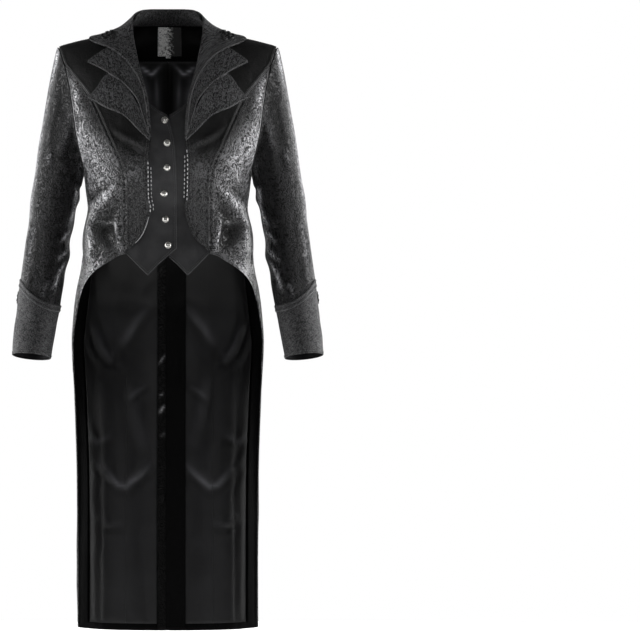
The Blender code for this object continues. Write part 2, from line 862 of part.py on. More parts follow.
def sleeve_point(row, turn, out=0.0):
    outer = Vector((by_row(ARM, "outer_x", row), 0.0, by_row(ARM, "outer_z", row)))
    inner = Vector((by_row(ARM, "inner_x", row), 0.0, by_row(ARM, "inner_z", row)))
    centre = (outer + inner) / 2
    across = (outer - inner) / 2
    out += sleeve_crease(row, turn)
    across += across.normalized() * out
    depth = by_row(ARM, "half_depth", row) + out
    point = centre + across * math.cos(turn)
    point.y = by_row(ARM, "centre_y", row) - depth * math.sin(turn)
    point.z += CUFF_RIM_TILT * math.sin(turn) * smoothstep(row, 8, CUFF_END_ROW)
    if row < SLEEVE_HEAD_ROWS:
        point = armhole_point(turn).lerp(point, smoothstep(row, 0, SLEEVE_HEAD_ROWS))
    return point


def arm_axis(row):
    outer = Vector((by_row(ARM, "outer_x", row), 0.0, by_row(ARM, "outer_z", row)))
    inner = Vector((by_row(ARM, "inner_x", row), 0.0, by_row(ARM, "inner_z", row)))
    centre = (outer + inner) / 2
    centre.y = by_row(ARM, "centre_y", row)
    return centre


def from_arm(side):
    rows = [k * 0.5 for k in range(int(2 * CUFF_END_ROW) + 1)]
    axis = [mirrored(arm_axis(row), side) for row in rows]

    def outward(point):
        return point - min(axis, key=lambda centre: (centre - point).length)

    return outward


def cuff_top(turn):
    # Highest on the outer side; across the front it dips below the straight diagonal.
    dip = CUFF_FRONT_DIP_ROWS * max(math.sin(turn), 0.0) ** 2
    return CUFF_START_ROW + CUFF_DIAGONAL_ROWS * (1 - math.cos(turn)) / 2 + dip


def sleeve_piece(name, side, first_step, last_step, material):
    columns, rows = last_step - first_step, SLEEVE_ROWS
    step = math.pi / ARMHOLE_STEPS
    trim = SLEEVE_SEAM_TRIM

    def place(column, row):
        turn = (first_step + column) * step
        if column == 0:
            turn += trim
        if column == columns:
            turn -= trim
        return mirrored(sleeve_point(cuff_top(turn) * (row / rows), turn), side)

    cloth(name, columns, rows, place, from_arm(side), WALL, material)


def sleeve(side, tag, cloth_material, brocade):
    sleeve_piece(f"top_sleeve_{tag}", side, SLEEVE_SEAM_BACK_STEP, SLEEVE_SEAM_FRONT_STEP, cloth_material)
    round_under = SLEEVE_SEAM_BACK_STEP + 2 * ARMHOLE_STEPS
    sleeve_piece(f"under_sleeve_{tag}", side, SLEEVE_SEAM_FRONT_STEP, round_under, cloth_material)
    columns, cuff_rows = 2 * ARMHOLE_STEPS, 3
    step = math.pi / ARMHOLE_STEPS

    def cuff_place(column, row):
        turn = column * step
        top = cuff_top(turn) + CUFF_SEAM_ROWS
        return mirrored(sleeve_point(top + (CUFF_END_ROW - top) * row / cuff_rows, turn), side)

    def band_place(column, row):
        turn = column * step
        top = cuff_top(turn) + CUFF_BAND_ROWS * (row - 0.5)
        return mirrored(sleeve_point(top, turn, WALL + PLY_GAP), side)

    cloth(f"cuff_{tag}", columns, cuff_rows, cuff_place, from_arm(side), WALL, brocade, closed=True)
    cloth(f"cuff_band_{tag}", columns, 1, band_place, from_arm(side), WALL, brocade, closed=True)


STRAP_OUT = STRAP_EASE + STRAP_WALL
BUCKLE_OUT = STRAP_OUT + PLY_GAP + BUCKLE_WALL


def on_back(x, z, out):
    return mirrored(skin(angle_at(abs(x), z, back=True), z, out), 1 if x >= 0 else -1)


def strap(name, from_x, from_z, to_x, to_z, material):
    columns, rows = 6, 2

    def place(column, row):
        share = column / columns
        x = from_x + (to_x - from_x) * share
        z = from_z + (to_z - from_z) * share + STRAP_HALF_HEIGHT * (2 * row / rows - 1)
        return on_back(x, z, STRAP_OUT)

    cloth(name, columns, rows, place, from_axis, STRAP_WALL, material)


def flat_ring(name, centre_x, centre_z, outline, opening, out, wall, material):
    # A flat piece with a hole, laid on the back: outline and opening are the same number of (x, z) pairs.
    count = len(outline)

    def place(column, row):
        x, z = (outline, opening)[row][column % count]
        return on_back(centre_x + x, centre_z + z, out)

    return cloth(name, count, 1, place, from_axis, wall, material, closed=True)


def circle(radius, count):
    turns = [2 * math.pi * k / count for k in range(count)]
    return [(radius * math.cos(turn), radius * math.sin(turn)) for turn in turns]


def buckle_outline():
    w, h, corner, bow = BUCKLE_HALF_WIDTH, BUCKLE_HALF_HEIGHT, 0.0022, 0.0010
    right = [(-w + corner, h), (-w, h - corner), (-w - bow, 0), (-w, corner - h), (corner - w, -h)]
    left = [(w - corner, -h), (w, corner - h), (w, 0), (w, h - corner), (w - corner, h)]
    return [(0, h)] + right + [(0, -h)] + left


def buckle_opening():
    # The wide plate's inner edge is notched, with its point towards the plate.
    w, h, bow = BUCKLE_HALF_WIDTH - BUCKLE_BAR, BUCKLE_HALF_HEIGHT - BUCKLE_BAR, 0.0010
    near, point = BUCKLE_PLATE_EDGE, BUCKLE_NOTCH
    right = [(-w, h), (-w - bow / 2, h / 2), (-w - bow, 0), (-w - bow / 2, -h / 2), (-w, -h)]
    left = [(near - 0.002, -h), (near, -0.72 * h), (point, 0), (near, 0.72 * h), (near - 0.002, h)]
    return [(-0.002, h)] + right + [(-0.002, -h)] + left


def waist_straps(cloth_material, metal):
    for number in range(len(STRAPS["buckle_z"])):
        row = {name: column[number] for name, column in STRAPS.items()}
        z = row["buckle_z"]
        level = ("upper", "lower")[number]
        plate_x = BUCKLE_CENTRE_X + BUCKLE_HALF_WIDTH - STRAP_UNDER_PLATE
        strap(f"strap_left_{level}", row["left_x"], row["left_z"], plate_x + PLY_GAP, z, cloth_material)
        strap(f"strap_right_{level}", -row["right_x"], row["right_z"], plate_x, z, cloth_material)
        flat_ring(
            f"buckle_{level}",
            BUCKLE_CENTRE_X,
            z,
            buckle_outline(),
            buckle_opening(),
            BUCKLE_OUT,
            BUCKLE_WALL,
            metal,
        )
        for k, x in enumerate(EYELET_X, 1):
            out = STRAP_OUT + PLY_GAP + EYELET_WALL
            flat_ring(
                f"eyelet_{level}_{k}",
                x,
                z,
                circle(EYELET_RADIUS, 12),
                circle(EYELET_HOLE_RADIUS, 12),
                out,
                EYELET_WALL,
                metal,
            )


def scroll(name, place, size, material):
    # A curl: a round cord wound inward, laid on what place(x, z) gives.
    curve = bpy.data.curves.new(name, "CURVE")
    curve.dimensions = "3D"
    curve.bevel_depth = CURL_RADIUS
    curve.bevel_resolution = 1
    curve.use_fill_caps = True
    spline = curve.splines.new("POLY")
    spline.points.add(CURL_POINTS - 1)
    for k, point in enumerate(spline.points):
        share = k / (CURL_POINTS - 1)
        turn = 2 * math.pi * CURL_TURNS * share
        reach = size * (1 - 0.72 * share)
        spot = place(reach * math.cos(turn) - size * 0.2 * (1 - share), reach * math.sin(turn))
        point.co = (*spot, 1.0)
    curl = bpy.data.objects.new(name, curve)
    coat.objects.link(curl)
    curve.materials.append(material)
    return curl


def ornaments(side, tag, material):
    def on_collar(a, b):
        # a runs along the collar's rows, b across it
        row, share = COLLAR_CURL_ROW - a / COLLAR_ROW_LENGTH, COLLAR_CURL_SHARE + b / COLLAR_FALL_WIDTH
        step = 0.05
        along = collar_point(row + step, share) - collar_point(row - step, share)
        across = collar_point(row, share + step) - collar_point(row, share - step)
        above = across.cross(along).normalized()
        above *= math.copysign(COLLAR_CURL_OUT, above.z)
        return mirrored(collar_cell(row, share) + above, side)

    def on_cuff(a, b):
        row = CUFF_CURL_ROW - a / CUFF_ROW_LENGTH
        turn = math.radians(CUFF_CURL_DEGREES) + b / CUFF_RADIUS
        return mirrored(sleeve_point(row, turn, CUFF_CURL_OUT), side)

    scroll(f"collar_curl_{tag}", on_collar, COLLAR_CURL_SIZE, material)
    scroll(f"cuff_curl_{tag}", on_cuff, CUFF_CURL_SIZE, material)


def make_material(name, colour, roughness, metallic=0.0):
    material = bpy.data.materials.new(name)
    material.use_nodes = True
    shader = material.node_tree.nodes["Principled BSDF"]
    shader.inputs["Base Color"].default_value = (*colour, 1.0)
    shader.inputs["Roughness"].default_value = roughness
    shader.inputs["Metallic"].default_value = metallic
    return material


def main():
    for old in list(bpy.data.objects):
        bpy.data.objects.remove(old, do_unlink=True)
    bpy.context.scene.collection.children.link(coat)
    satin = make_material("satin", (0.010, 0.010, 0.012), 0.38)
    brocade = make_material("brocade", (0.040, 0.040, 0.042), 0.62)
    vest_cloth = make_material("vest_cloth", (0.030, 0.030, 0.032), 0.58)
    lining = make_material("lining", (0.016, 0.016, 0.018), 0.34)
    facing = make_material("facing", (0.006, 0.006, 0.007), 0.42)
    label = make_material("label", (0.020, 0.020, 0.022), 0.70)
    silver = make_material("silver", (0.62, 0.62, 0.60), 0.26, 1.0)
    trim = make_material("trim", (0.005, 0.005, 0.006), 0.45)
    for side, tag in ((1, "left"), (-1, "right")):
        front_pieces(side, tag, satin)
        back_pieces(side, tag, satin)
        lining_pieces(side, tag, lining)
        sleeve(side, tag, satin, brocade)
        lapel_layer(f"lapel_second_{tag}", side, SECOND_LAYER, 1, brocade)
        lapel_layer(f"lapel_third_{tag}", side, THIRD_LAYER, 0, brocade)
        ornaments(side, tag, trim)
    neck_inside(facing, label)
    collar_stand(brocade)
    collar(brocade)
    waistcoat(vest_cloth)
    buttons(silver)
    waist_straps(satin, silver)


main()
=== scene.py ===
# Long-tailed coat, filled out as if worn: fine cloth, trims, light and camera.
# Metres, +Z up, +X to the wearer's left, -Y to the front. A ring angle of 0 is the front centre, pi the back centre.
import math

import bmesh
import bpy
import numpy as np
from mathutils import Matrix, Vector


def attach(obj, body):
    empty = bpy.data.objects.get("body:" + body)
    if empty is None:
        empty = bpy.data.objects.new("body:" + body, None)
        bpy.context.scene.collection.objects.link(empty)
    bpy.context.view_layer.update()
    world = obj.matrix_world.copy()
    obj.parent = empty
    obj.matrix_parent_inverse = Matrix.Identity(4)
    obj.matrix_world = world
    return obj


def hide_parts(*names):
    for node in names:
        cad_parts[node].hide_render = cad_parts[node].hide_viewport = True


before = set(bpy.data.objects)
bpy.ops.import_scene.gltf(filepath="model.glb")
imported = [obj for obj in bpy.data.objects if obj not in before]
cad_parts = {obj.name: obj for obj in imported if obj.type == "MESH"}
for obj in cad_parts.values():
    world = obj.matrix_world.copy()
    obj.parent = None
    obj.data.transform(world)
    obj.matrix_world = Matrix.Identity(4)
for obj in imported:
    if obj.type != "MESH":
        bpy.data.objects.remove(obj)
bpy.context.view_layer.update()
print("frame loaded:", len(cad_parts), "pieces")


# materials

def startMaterial(name, look):
    material = bpy.data.materials.new(name)
    material.use_nodes = True
    shader = material.node_tree.nodes["Principled BSDF"]
    values = {
        "Base Color": (*look["colour"], 1), "Roughness": look["roughness"], "Metallic": look.get("metallic", 0),
        "Specular IOR Level": look.get("specular", 0.5), "Sheen Weight": look.get("sheen", 0),
        "Sheen Roughness": look.get("sheenRoughness", 0.4), "Sheen Tint": (*look.get("sheenTint", (1, 1, 1)), 1),
    }
    for socket, value in values.items():
        shader.inputs[socket].default_value = value
    return material, shader


def times(colour, factor):
    return tuple(c * factor for c in colour)


def addNode(material, kind, values=None, **settings):
    node = material.node_tree.nodes.new(kind)
    for key, value in settings.items():
        setattr(node, key, value)
    for key, value in (values or {}).items():
        node.inputs[key].default_value = value
    return node


def join(source, output, target, socket):
    source.id_data.links.new(source.outputs[output], target.inputs[socket])


def coordinates(material, space, scale=(1, 1, 1), turn=0):
    # space is Object, or UV for a pattern that follows the cloth in metres
    place = addNode(material, "ShaderNodeTexCoord")
    mapping = addNode(material, "ShaderNodeMapping", {"Scale": scale, "Rotation": (0, 0, turn)})
    join(place, space, mapping, "Vector")
    return mapping


def noise(material, mapping, scale, detail, distortion=0.0, roughness=0.5):
    values = {"Scale": scale, "Detail": detail, "Distortion": distortion, "Roughness": roughness}
    texture = addNode(material, "ShaderNodeTexNoise", values)
    join(mapping, "Vector", texture, "Vector")
    return texture


def wave(material, mapping, scale, distortion=0.0, direction="X"):
    values = {"Scale": scale, "Distortion": distortion, "Detail": 1, "Detail Scale": 3}
    texture = addNode(material, "ShaderNodeTexWave", values, bands_direction=direction)
    join(mapping, "Vector", texture, "Vector")
    return texture


def ramp(material, source, output, low, high, lowColour=(0, 0, 0), highColour=(1, 1, 1)):
    spread = addNode(material, "ShaderNodeValToRGB")
    first, last = spread.color_ramp.elements
    first.position, last.position = low, high
    first.color, last.color = (*lowColour, 1), (*highColour, 1)
    join(source, output, spread, "Fac")
    return spread


def blendOf(material, kind, a, aOutput, b, bOutput, factor=0.5):
    mixer = addNode(material, "ShaderNodeMix", data_type="RGBA", blend_type=kind)
    mixer.inputs[0].default_value = factor
    join(a, aOutput, mixer, 6)
    join(b, bOutput, mixer, 7)
    return mixer


def addBump(material, layers):
    # layers are (node, output, strength, depth in metres), the broadest first
    previous = None
    for source, output, strength, depth in layers:
        bump = addNode(material, "ShaderNodeBump", {"Strength": strength, "Distance": depth})
        join(source, output, bump, "Height")
        if previous:
            join(previous, "Normal", bump, "Normal")
        previous = bump
    join(previous, "Normal", material.node_tree.nodes["Principled BSDF"], "Normal")


def paintFoldLight(material, source, output, gain, shader):
    # the cloth's painted-light attribute along its folds: 0 is plain, above it a painted highlight on a ridge, below it
    # painted shade in a hollow
    paintedFoldLight = addNode(material, "ShaderNodeAttribute", attribute_name="paintedFoldLight")
    factor = addNode(material, "ShaderNodeMath", {0: gain}, operation="POWER")
    join(paintedFoldLight, "Fac", factor, 1)
    tone = blendOf(material, "MULTIPLY", source, output, factor, "Value", 1.0)
    # even the brightest painted highlight sends back less light than it gets
    limit = addNode(material, "ShaderNodeMix", data_type="RGBA", blend_type="DARKEN")
    limit.inputs[0].default_value, limit.inputs[7].default_value = 1.0, (0.7, 0.7, 0.71, 1)
    join(tone, 2, limit, 6)
    join(limit, 2, shader, "Base Color")


satinLook = {
    "colour": (0.01, 0.01, 0.011), "roughness": 0.36, "specular": 0.2,
    "sheen": 0.05, "sheenRoughness": 0.3, "sheenTint": (0.9, 0.9, 0.92),
    "crinkle": 135, "crinkleDepth": 0.0022, "broad": 24,
    # the crinkle's hollows take the dark colour and its ridges the bright one: painted shade and painted highlights
    "grooveShade": (0.0026, 0.0026, 0.0027), "crestHighlight": (0.09, 0.09, 0.093), "gloss": (0.26, 0.6),
    # the two heights where the crinkle begins and where it is full, on the smooth-chested fronts; above them the cloth
    # keeps the dark colour, painted shade
    "paintedLightGain": 6.0, "crinkledBelowShadedAbove": None,
}


def satinMaterial(name="crinkledSatin", look=satinLook):
    material, shader = startMaterial(name, look)
    mapping = coordinates(material, "Object", (1, 1, 0.8))
    squiggle = noise(material, mapping, look["crinkle"], 2, 1.7, 0.5)
    ridges = addNode(material, "ShaderNodeMath", {1: 0.5}, operation="SUBTRACT")
    join(squiggle, "Fac", ridges, 0)
    folded = addNode(material, "ShaderNodeMath", operation="ABSOLUTE")
    join(ridges, "Value", folded, 0)
    worms = ramp(material, folded, "Value", 0.015, 0.095)
    crushed, output = worms, "Color"
    # above the given heights the crinkle fades and the colour stays dark: painted shade on the upper front
    if look["crinkledBelowShadedAbove"]:
        height = addNode(material, "ShaderNodeSeparateXYZ")
        join(coordinates(material, "Object"), "Vector", height, "Vector")
        begins, full = look["crinkledBelowShadedAbove"]
        heights = {"From Min": begins, "From Max": full, "To Min": 0.1, "To Max": 1.0}
        mask = addNode(material, "ShaderNodeMapRange", heights)
        join(height, "Z", mask, "Value")
        crushed, output = addNode(material, "ShaderNodeMath", operation="MULTIPLY"), "Value"
        join(worms, "Color", crushed, 0)
        join(mask, "Result", crushed, 1)
    grain = noise(material, mapping, 900, 2)
    patches = noise(material, mapping, look["broad"], 3, 0.6)
    # painted highlights on the crinkle's ridges and painted shade in its hollows, then painted light along the folds
    tone = ramp(material, crushed, output, 0.1, 0.95, look["grooveShade"], look["crestHighlight"])
    paintFoldLight(material, tone, "Color", look["paintedLightGain"], shader)
    bright, dull = look["gloss"]
    gloss = ramp(material, crushed, output, 0.15, 0.9, (dull, dull, dull), (bright, bright, bright))
    join(gloss, "Color", shader, "Roughness")
    addBump(material, [
        (patches, "Fac", 0.5, 0.0045),
        (crushed, output, 0.95, look["crinkleDepth"]),
        (grain, "Fac", 0.3, 0.0003),
    ])
    return material


smoothLook = {"colour": (0.01, 0.01, 0.011), "roughness": 0.44, "specular": 0.28, "sheen": 0.03, "grain": 420}


def smoothSatinMaterial(name, look):
    # plain satin: fine warp lines along the cloth, a soft unevenness, and painted highlight and shade along its folds
    material, shader = startMaterial(name, look)
    mapping = coordinates(material, "Object")
    clouds = noise(material, mapping, 18, 3, 0.4)
    grain = noise(material, mapping, look["grain"], 2)
    threads = wave(material, coordinates(material, "UV"), 560, 0.6)
    tone = ramp(material, clouds, "Fac", 0.3, 0.7, times(look["colour"], 0.75), times(look["colour"], 1.3))
    paintFoldLight(material, tone, "Color", 4.5, shader)
    addBump(material, [
        (clouds, "Fac", 0.2, 0.004),
        (grain, "Fac", 0.2, 0.0003),
        (threads, "Fac", 0.1, 0.0001),
    ])
    return material


brocadeLook = {
    "colour": (0.024, 0.024, 0.025), "roughness": 0.62, "specular": 0.2, "sheen": 0.02,
    "ground": (0.01, 0.01, 0.0105), "figure": (0.052, 0.052, 0.054), "figureScale": 215, "scrollScale": 60,
}


def brocadeMaterial(name="brocade", look=brocadeLook):
    # a plain scrolling figure, woven brighter and a little proud of its ground
    material, shader = startMaterial(name, look)
    flow = coordinates(material, "UV")
    small = noise(material, flow, look["figureScale"], 1.5, 2.6, 0.6)
    large = noise(material, flow, look["scrollScale"], 2, 3.0, 0.6)
    scrolls = blendOf(material, "MIX", small, "Fac", large, "Fac", 0.18)
    figure = addNode(material, "ShaderNodeValToRGB")
    figure.color_ramp.elements[0].position, figure.color_ramp.elements[1].position = 0.45, 0.56
    join(scrolls, 2, figure, "Fac")
    thread = noise(material, coordinates(material, "UV", (1, 2.6, 1)), 520, 2, 0.5)
    weft = wave(material, coordinates(material, "UV", (1, 1, 1), 0.5), 300, 1.2)
    tone = ramp(material, figure, "Color", 0.0, 1.0, look["ground"], look["figure"])
    speckle = ramp(material, thread, "Fac", 0.34, 0.7, (0.3, 0.3, 0.3), (1.8, 1.8, 1.8))
    cloth = blendOf(material, "MULTIPLY", tone, "Color", speckle, "Color", 0.85)
    join(cloth, 2, shader, "Base Color")
    gloss = ramp(material, figure, "Color", 0.0, 1.0, (0.72, 0.72, 0.72), (0.5, 0.5, 0.5))
    join(gloss, "Color", shader, "Roughness")
    addBump(material, [
        (figure, "Color", 0.55, 0.0007),
        (weft, "Fac", 0.2, 0.0003),
        (thread, "Fac", 0.55, 0.0005),
    ])
    return material


twillLook = {"colour": (0.027, 0.027, 0.029), "roughness": 0.66, "specular": 0.25, "sheen": 0.03, "pitch": 330}


def twillMaterial(name="waistcoatTwill", look=twillLook):
    material, shader = startMaterial(name, look)
    rib = wave(material, coordinates(material, "UV", (1, 1, 1), math.radians(52)), look["pitch"], 0.5)
    clouds = noise(material, coordinates(material, "Object"), 30, 4, 0.3)
    fibre = noise(material, coordinates(material, "UV", (1, 3, 1)), 700, 2)
    tone = ramp(material, clouds, "Fac", 0.3, 0.72, (0.015, 0.015, 0.016), (0.033, 0.033, 0.0345))
    speckle = ramp(material, fibre, "Fac", 0.3, 0.7, (0.65, 0.65, 0.65), (1.35, 1.35, 1.35))
    cloth = blendOf(material, "MULTIPLY", tone, "Color", speckle, "Color", 0.8)
    join(cloth, 2, shader, "Base Color")
    addBump(material, [(clouds, "Fac", 0.2, 0.002), (rib, "Fac", 0.35, 0.0003), (fibre, "Fac", 0.3, 0.0003)])
    return material


silverLook = {"colour": (0.62, 0.61, 0.58), "roughness": 0.24, "metallic": 1.0, "cells": 420}


def silverMaterial(name, look, relief=0.0004):
    # old silver: bright where it is rubbed, dark in its hollows
    material, shader = startMaterial(name, look)
    mapping = coordinates(material, "Object")
    cells = addNode(material, "ShaderNodeTexVoronoi", {"Scale": look["cells"]}, feature="SMOOTH_F1")
    join(mapping, "Vector", cells, "Vector")
    tarnish = noise(material, mapping, 260, 4, 0.5)
    tone = ramp(material, tarnish, "Fac", 0.36, 0.58, times(look["colour"], 0.35), look["colour"])
    join(tone, "Color", shader, "Base Color")
    gloss = ramp(material, tarnish, "Fac", 0.3, 0.7, (0.42, 0.42, 0.42), (0.18, 0.18, 0.18))
    join(gloss, "Color", shader, "Roughness")
    addBump(material, [(cells, "Distance", 0.4, relief), (tarnish, "Fac", 0.15, relief / 2)])
    return material


labelLook = {"colour": (0.3, 0.3, 0.3), "roughness": 0.7, "sheen": 0.1}


def labelMaterial(name="wovenLabel", look=labelLook):
    # a plain mottled weave that runs from pale on one side to black on the other, with no sign on it
    material, shader = startMaterial(name, look)
    mapping = coordinates(material, "Object")
    mottle = noise(material, mapping, 210, 4, 1.2, 0.6)
    side = addNode(material, "ShaderNodeSeparateXYZ")
    join(mapping, "Vector", side, "Vector")
    sides = {"From Min": 0.026, "From Max": -0.004, "To Min": -0.42, "To Max": 0.1}
    fade = addNode(material, "ShaderNodeMapRange", sides)
    join(side, "X", fade, "Value")
    together = addNode(material, "ShaderNodeMath", operation="ADD")
    join(mottle, "Fac", together, 0)
    join(fade, "Result", together, 1)
    tone = ramp(material, together, "Value", 0.42, 0.6, (0.016, 0.016, 0.016), (0.8, 0.8, 0.79))
    join(tone, "Color", shader, "Base Color")
    weave = wave(material, coordinates(material, "UV"), 520)
    addBump(material, [(mottle, "Fac", 0.3, 0.0003), (weave, "Fac", 0.3, 0.0002)])
    return material


threadLook = {"colour": (0.036, 0.036, 0.038), "roughness": 0.45, "sheen": 0.05, "grain": 1500}
# a pale glossy cord colour that stands for glints: painted highlights
paintedGlintCordLook = {"colour": (0.36, 0.36, 0.37), "roughness": 0.28, "specular": 0.8, "grain": 700}
pipingCordLook = {"colour": (0.055, 0.055, 0.058), "roughness": 0.3, "specular": 0.7, "grain": 900}
trimLook = {"colour": (0.0022, 0.0022, 0.0024), "roughness": 0.45, "specular": 0.4, "sheen": 0.03, "grain": 1300}


def cordMaterial(name, look):
    material, shader = startMaterial(name, look)
    twist = noise(material, coordinates(material, "Object"), look["grain"], 2)
    tone = ramp(material, twist, "Fac", 0.3, 0.7, times(look["colour"], 0.6), times(look["colour"], 1.5))
    join(tone, "Color", shader, "Base Color")
    addBump(material, [(twist, "Fac", 0.5, 0.0003)])
    return material


# the crinkled satin coloured as bright as the side fronts are where the side lamps catch them, a painted highlight; the
# next three are the same satin coloured darker, painted shade, for the fronts, the sleeves, and the back and straps
satin = satinMaterial()
frontSatinShaded = satinMaterial("frontSatinShaded", {
    **satinLook, "crinkledBelowShadedAbove": (-0.195, -0.262), "grooveShade": (0.002, 0.002, 0.0021),
    "crestHighlight": (0.044, 0.044, 0.046), "crinkleDepth": 0.0018, "gloss": (0.3, 0.56), "specular": 0.22, "sheen": 0})
sleeveSatinShaded = satinMaterial("sleeveSatinShaded", {
    **satinLook, "grooveShade": (0.0009, 0.0009, 0.001), "crestHighlight": (0.0215, 0.0215, 0.0225), "crinkleDepth": 0.0014,
    "gloss": (0.3, 0.46), "specular": 0.1, "sheen": 0.01, "paintedLightGain": 7.5})
backSatinShaded = satinMaterial("backSatinShaded", {
    **satinLook, "grooveShade": (0.001, 0.001, 0.001), "crestHighlight": (0.0042, 0.0042, 0.0045), "crinkleDepth": 0.001,
    "gloss": (0.3, 0.5), "specular": 0.12, "sheen": 0, "paintedLightGain": 7.0})
crushedFacing = satinMaterial("crushedFacing", {
    **satinLook, "grooveShade": (0.0008, 0.0008, 0.0008), "crestHighlight": (0.0016, 0.0016, 0.0017), "crinkle": 90, "broad": 30,
    "gloss": (0.3, 0.5), "specular": 0.08, "sheen": 0, "crinkleDepth": 0.0008})
insideSatin = smoothSatinMaterial("facingSatin", {
    **smoothLook, "colour": (0.001, 0.001, 0.0011), "specular": 0.04, "sheen": 0})
liningSatin = smoothSatinMaterial("liningSatin", {
    **smoothLook, "colour": (0.0075, 0.0075, 0.0082), "roughness": 0.38, "specular": 0.2, "sheen": 0})
brocade = brocadeMaterial()
lapelBrocade = brocadeMaterial("lapelBrocade", {
    **brocadeLook, "ground": (0.0062, 0.0062, 0.0065), "figure": (0.088, 0.088, 0.091), "figureScale": 150})
lapelThread = cordMaterial("lapelThread", {**threadLook, "colour": (0.07, 0.07, 0.072)})
twill = twillMaterial()
silverDome = silverMaterial("silverDome", silverLook, 0.0001)
silverFrame = silverMaterial("silverFrame", {**silverLook, "colour": (0.34, 0.335, 0.32), "cells": 520}, 0.0006)
label = labelMaterial()
thread = cordMaterial("stitchThread", threadLook)
paintedGlintCord = cordMaterial("paintedGlintCord", paintedGlintCordLook)
pipingCord = cordMaterial("pipingCord", pipingCordLook)
trim = cordMaterial("blackBraid", trimLook)
print("materials made")


# form: smooth curves through the driving sizes

def monotone(knots, values):
    # a cubic that never overshoots its knots, flat past the ends
    knots, values = np.array(knots, float), np.array(values, float)
    if knots[0] > knots[-1]:
        knots, values = knots[::-1], values[::-1]
    steps = np.diff(knots)
    slopes = np.diff(values) / steps
    tangents = np.zeros(len(knots))
    tangents[0], tangents[-1] = slopes[0], slopes[-1]
    before, after = slopes[:-1], slopes[1:]
    both = np.where(before * after > 0, before + after, 1.0)
    tangents[1:-1] = np.where(before * after > 0, 2 * before * after / both, 0.0)
    fine = np.linspace(knots[0], knots[-1], 4000)
    i = np.clip(np.searchsorted(knots, fine, side="right") - 1, 0, len(steps) - 1)
    h, s = steps[i], (fine - knots[i]) / steps[i]
    drawn = (
        values[i] * (2 * s**3 - 3 * s**2 + 1) + values[i + 1] * (3 * s**2 - 2 * s**3)
        + h * tangents[i] * (s**3 - 2 * s**2 + s) + h * tangents[i + 1] * (s**3 - s**2)
    )
    return lambda at: np.interp(at, fine, drawn)


def rowCurves(form):
    # the tables that give one value a row, as curves over the row number
    return {key: monotone(range(len(values)), values) for key, values in form.items() if isinstance(values, tuple)}


def smoothstep(value, low, high):
    s = np.clip((value - low) / (high - low), 0, 1)
    return s * s * (3 - 2 * s)


def hump(distance, width):
    return np.exp(-((distance / width) ** 2))


def rolledEdge(distance, ridge, at, wide, drop, reach):
    # a soft ridge just inside an edge, then down to the rim
    return ridge * hump(distance - at, wide) - drop * hump(distance, reach)


def unit(vectors):
    return vectors / np.maximum(np.linalg.norm(vectors, axis=-1, keepdims=True), 1e-12)


bodyForm = {
    "z": (0.014, 0.003, -0.0115, -0.0215, -0.033, -0.05, -0.071, -0.1, -0.13, -0.16, -0.186, -0.215, -0.242,
          -0.272, -0.298, -0.335, -0.372, -0.409, -0.446, -0.484, -0.521, -0.577, -0.688, -0.837, -1.000, -1.115),
    "halfWidth": (0.066, 0.08, 0.121, 0.165, 0.203, 0.218, 0.225, 0.224, 0.217, 0.206, 0.194, 0.18, 0.167,
                  0.155, 0.152, 0.148, 0.151, 0.156, 0.161, 0.169, 0.174, 0.178, 0.1726, 0.168, 0.1668, 0.1667),
    "front": (0.008, 0.02, 0.031, 0.041, 0.052, 0.066, 0.081, 0.096, 0.108, 0.116, 0.121, 0.125, 0.124,
              0.119, 0.11, 0.098, 0.096, 0.098, 0.101, 0.103, 0.104, 0.104, 0.1, 0.095, 0.09, 0.088),
    "back": (0.057, 0.062, 0.069, 0.075, 0.081, 0.088, 0.093, 0.098, 0.102, 0.105, 0.106, 0.104, 0.101,
             0.096, 0.089, 0.083, 0.087, 0.095, 0.104, 0.111, 0.116, 0.118, 0.109, 0.095, 0.081, 0.073),
    "squareness": 2.3,
    "bust": (0.007, 0.62, 0.36, -0.215, 0.06),     # depth, angle and its spread, height and its spread
    "hollow": (0.004, 0.2, -0.3, 0.14),           # of the back: depth, spread round, height and its spread
    "folds": ((103, 0.004, 9), (121, -0.0035, 9), (139, 0.0045, 9), (158, -0.0035, 9)),
    "foldsStart": -0.44, "foldsFull": -0.95,
    "shoulder": -0.033, "princessTop": -0.068, "armpit": -0.272,
    "ventTop": -0.9, "hemSide": -1.108, "hemCentre": -1.1175, "ventGap": 0.0026,
    "sideSeam": 0.0004,
}
halfWidthAt = monotone(bodyForm["z"], bodyForm["halfWidth"])
frontAt = monotone(bodyForm["z"], bodyForm["front"])
backAt = monotone(bodyForm["z"], bodyForm["back"])


def ringPoint(angle, z):
    sine, cosine = np.sin(angle), np.cos(angle)
    power = 2 / bodyForm["squareness"]
    degrees = np.degrees(angle)
    grown = smoothstep(-z, -bodyForm["foldsStart"], -bodyForm["foldsFull"])
    out = grown * sum(depth * hump(degrees - at, width) for at, depth, width in bodyForm["folds"])
    depth, at, spread, height, tall = bodyForm["bust"]
    out = out + depth * hump(angle - at, spread) * hump(z - height, tall)
    depth, spread, height, tall = bodyForm["hollow"]
    out = out - depth * hump(math.pi - angle, spread) * hump(z - height, tall)
    reach = np.where(cosine > 0, frontAt(z), backAt(z))
    x = halfWidthAt(z) * np.maximum(sine, 0) ** power + out * sine
    y = -np.sign(cosine) * reach * np.abs(cosine) ** power - out * cosine
    return np.stack([x, y, z + 0 * x], -1)


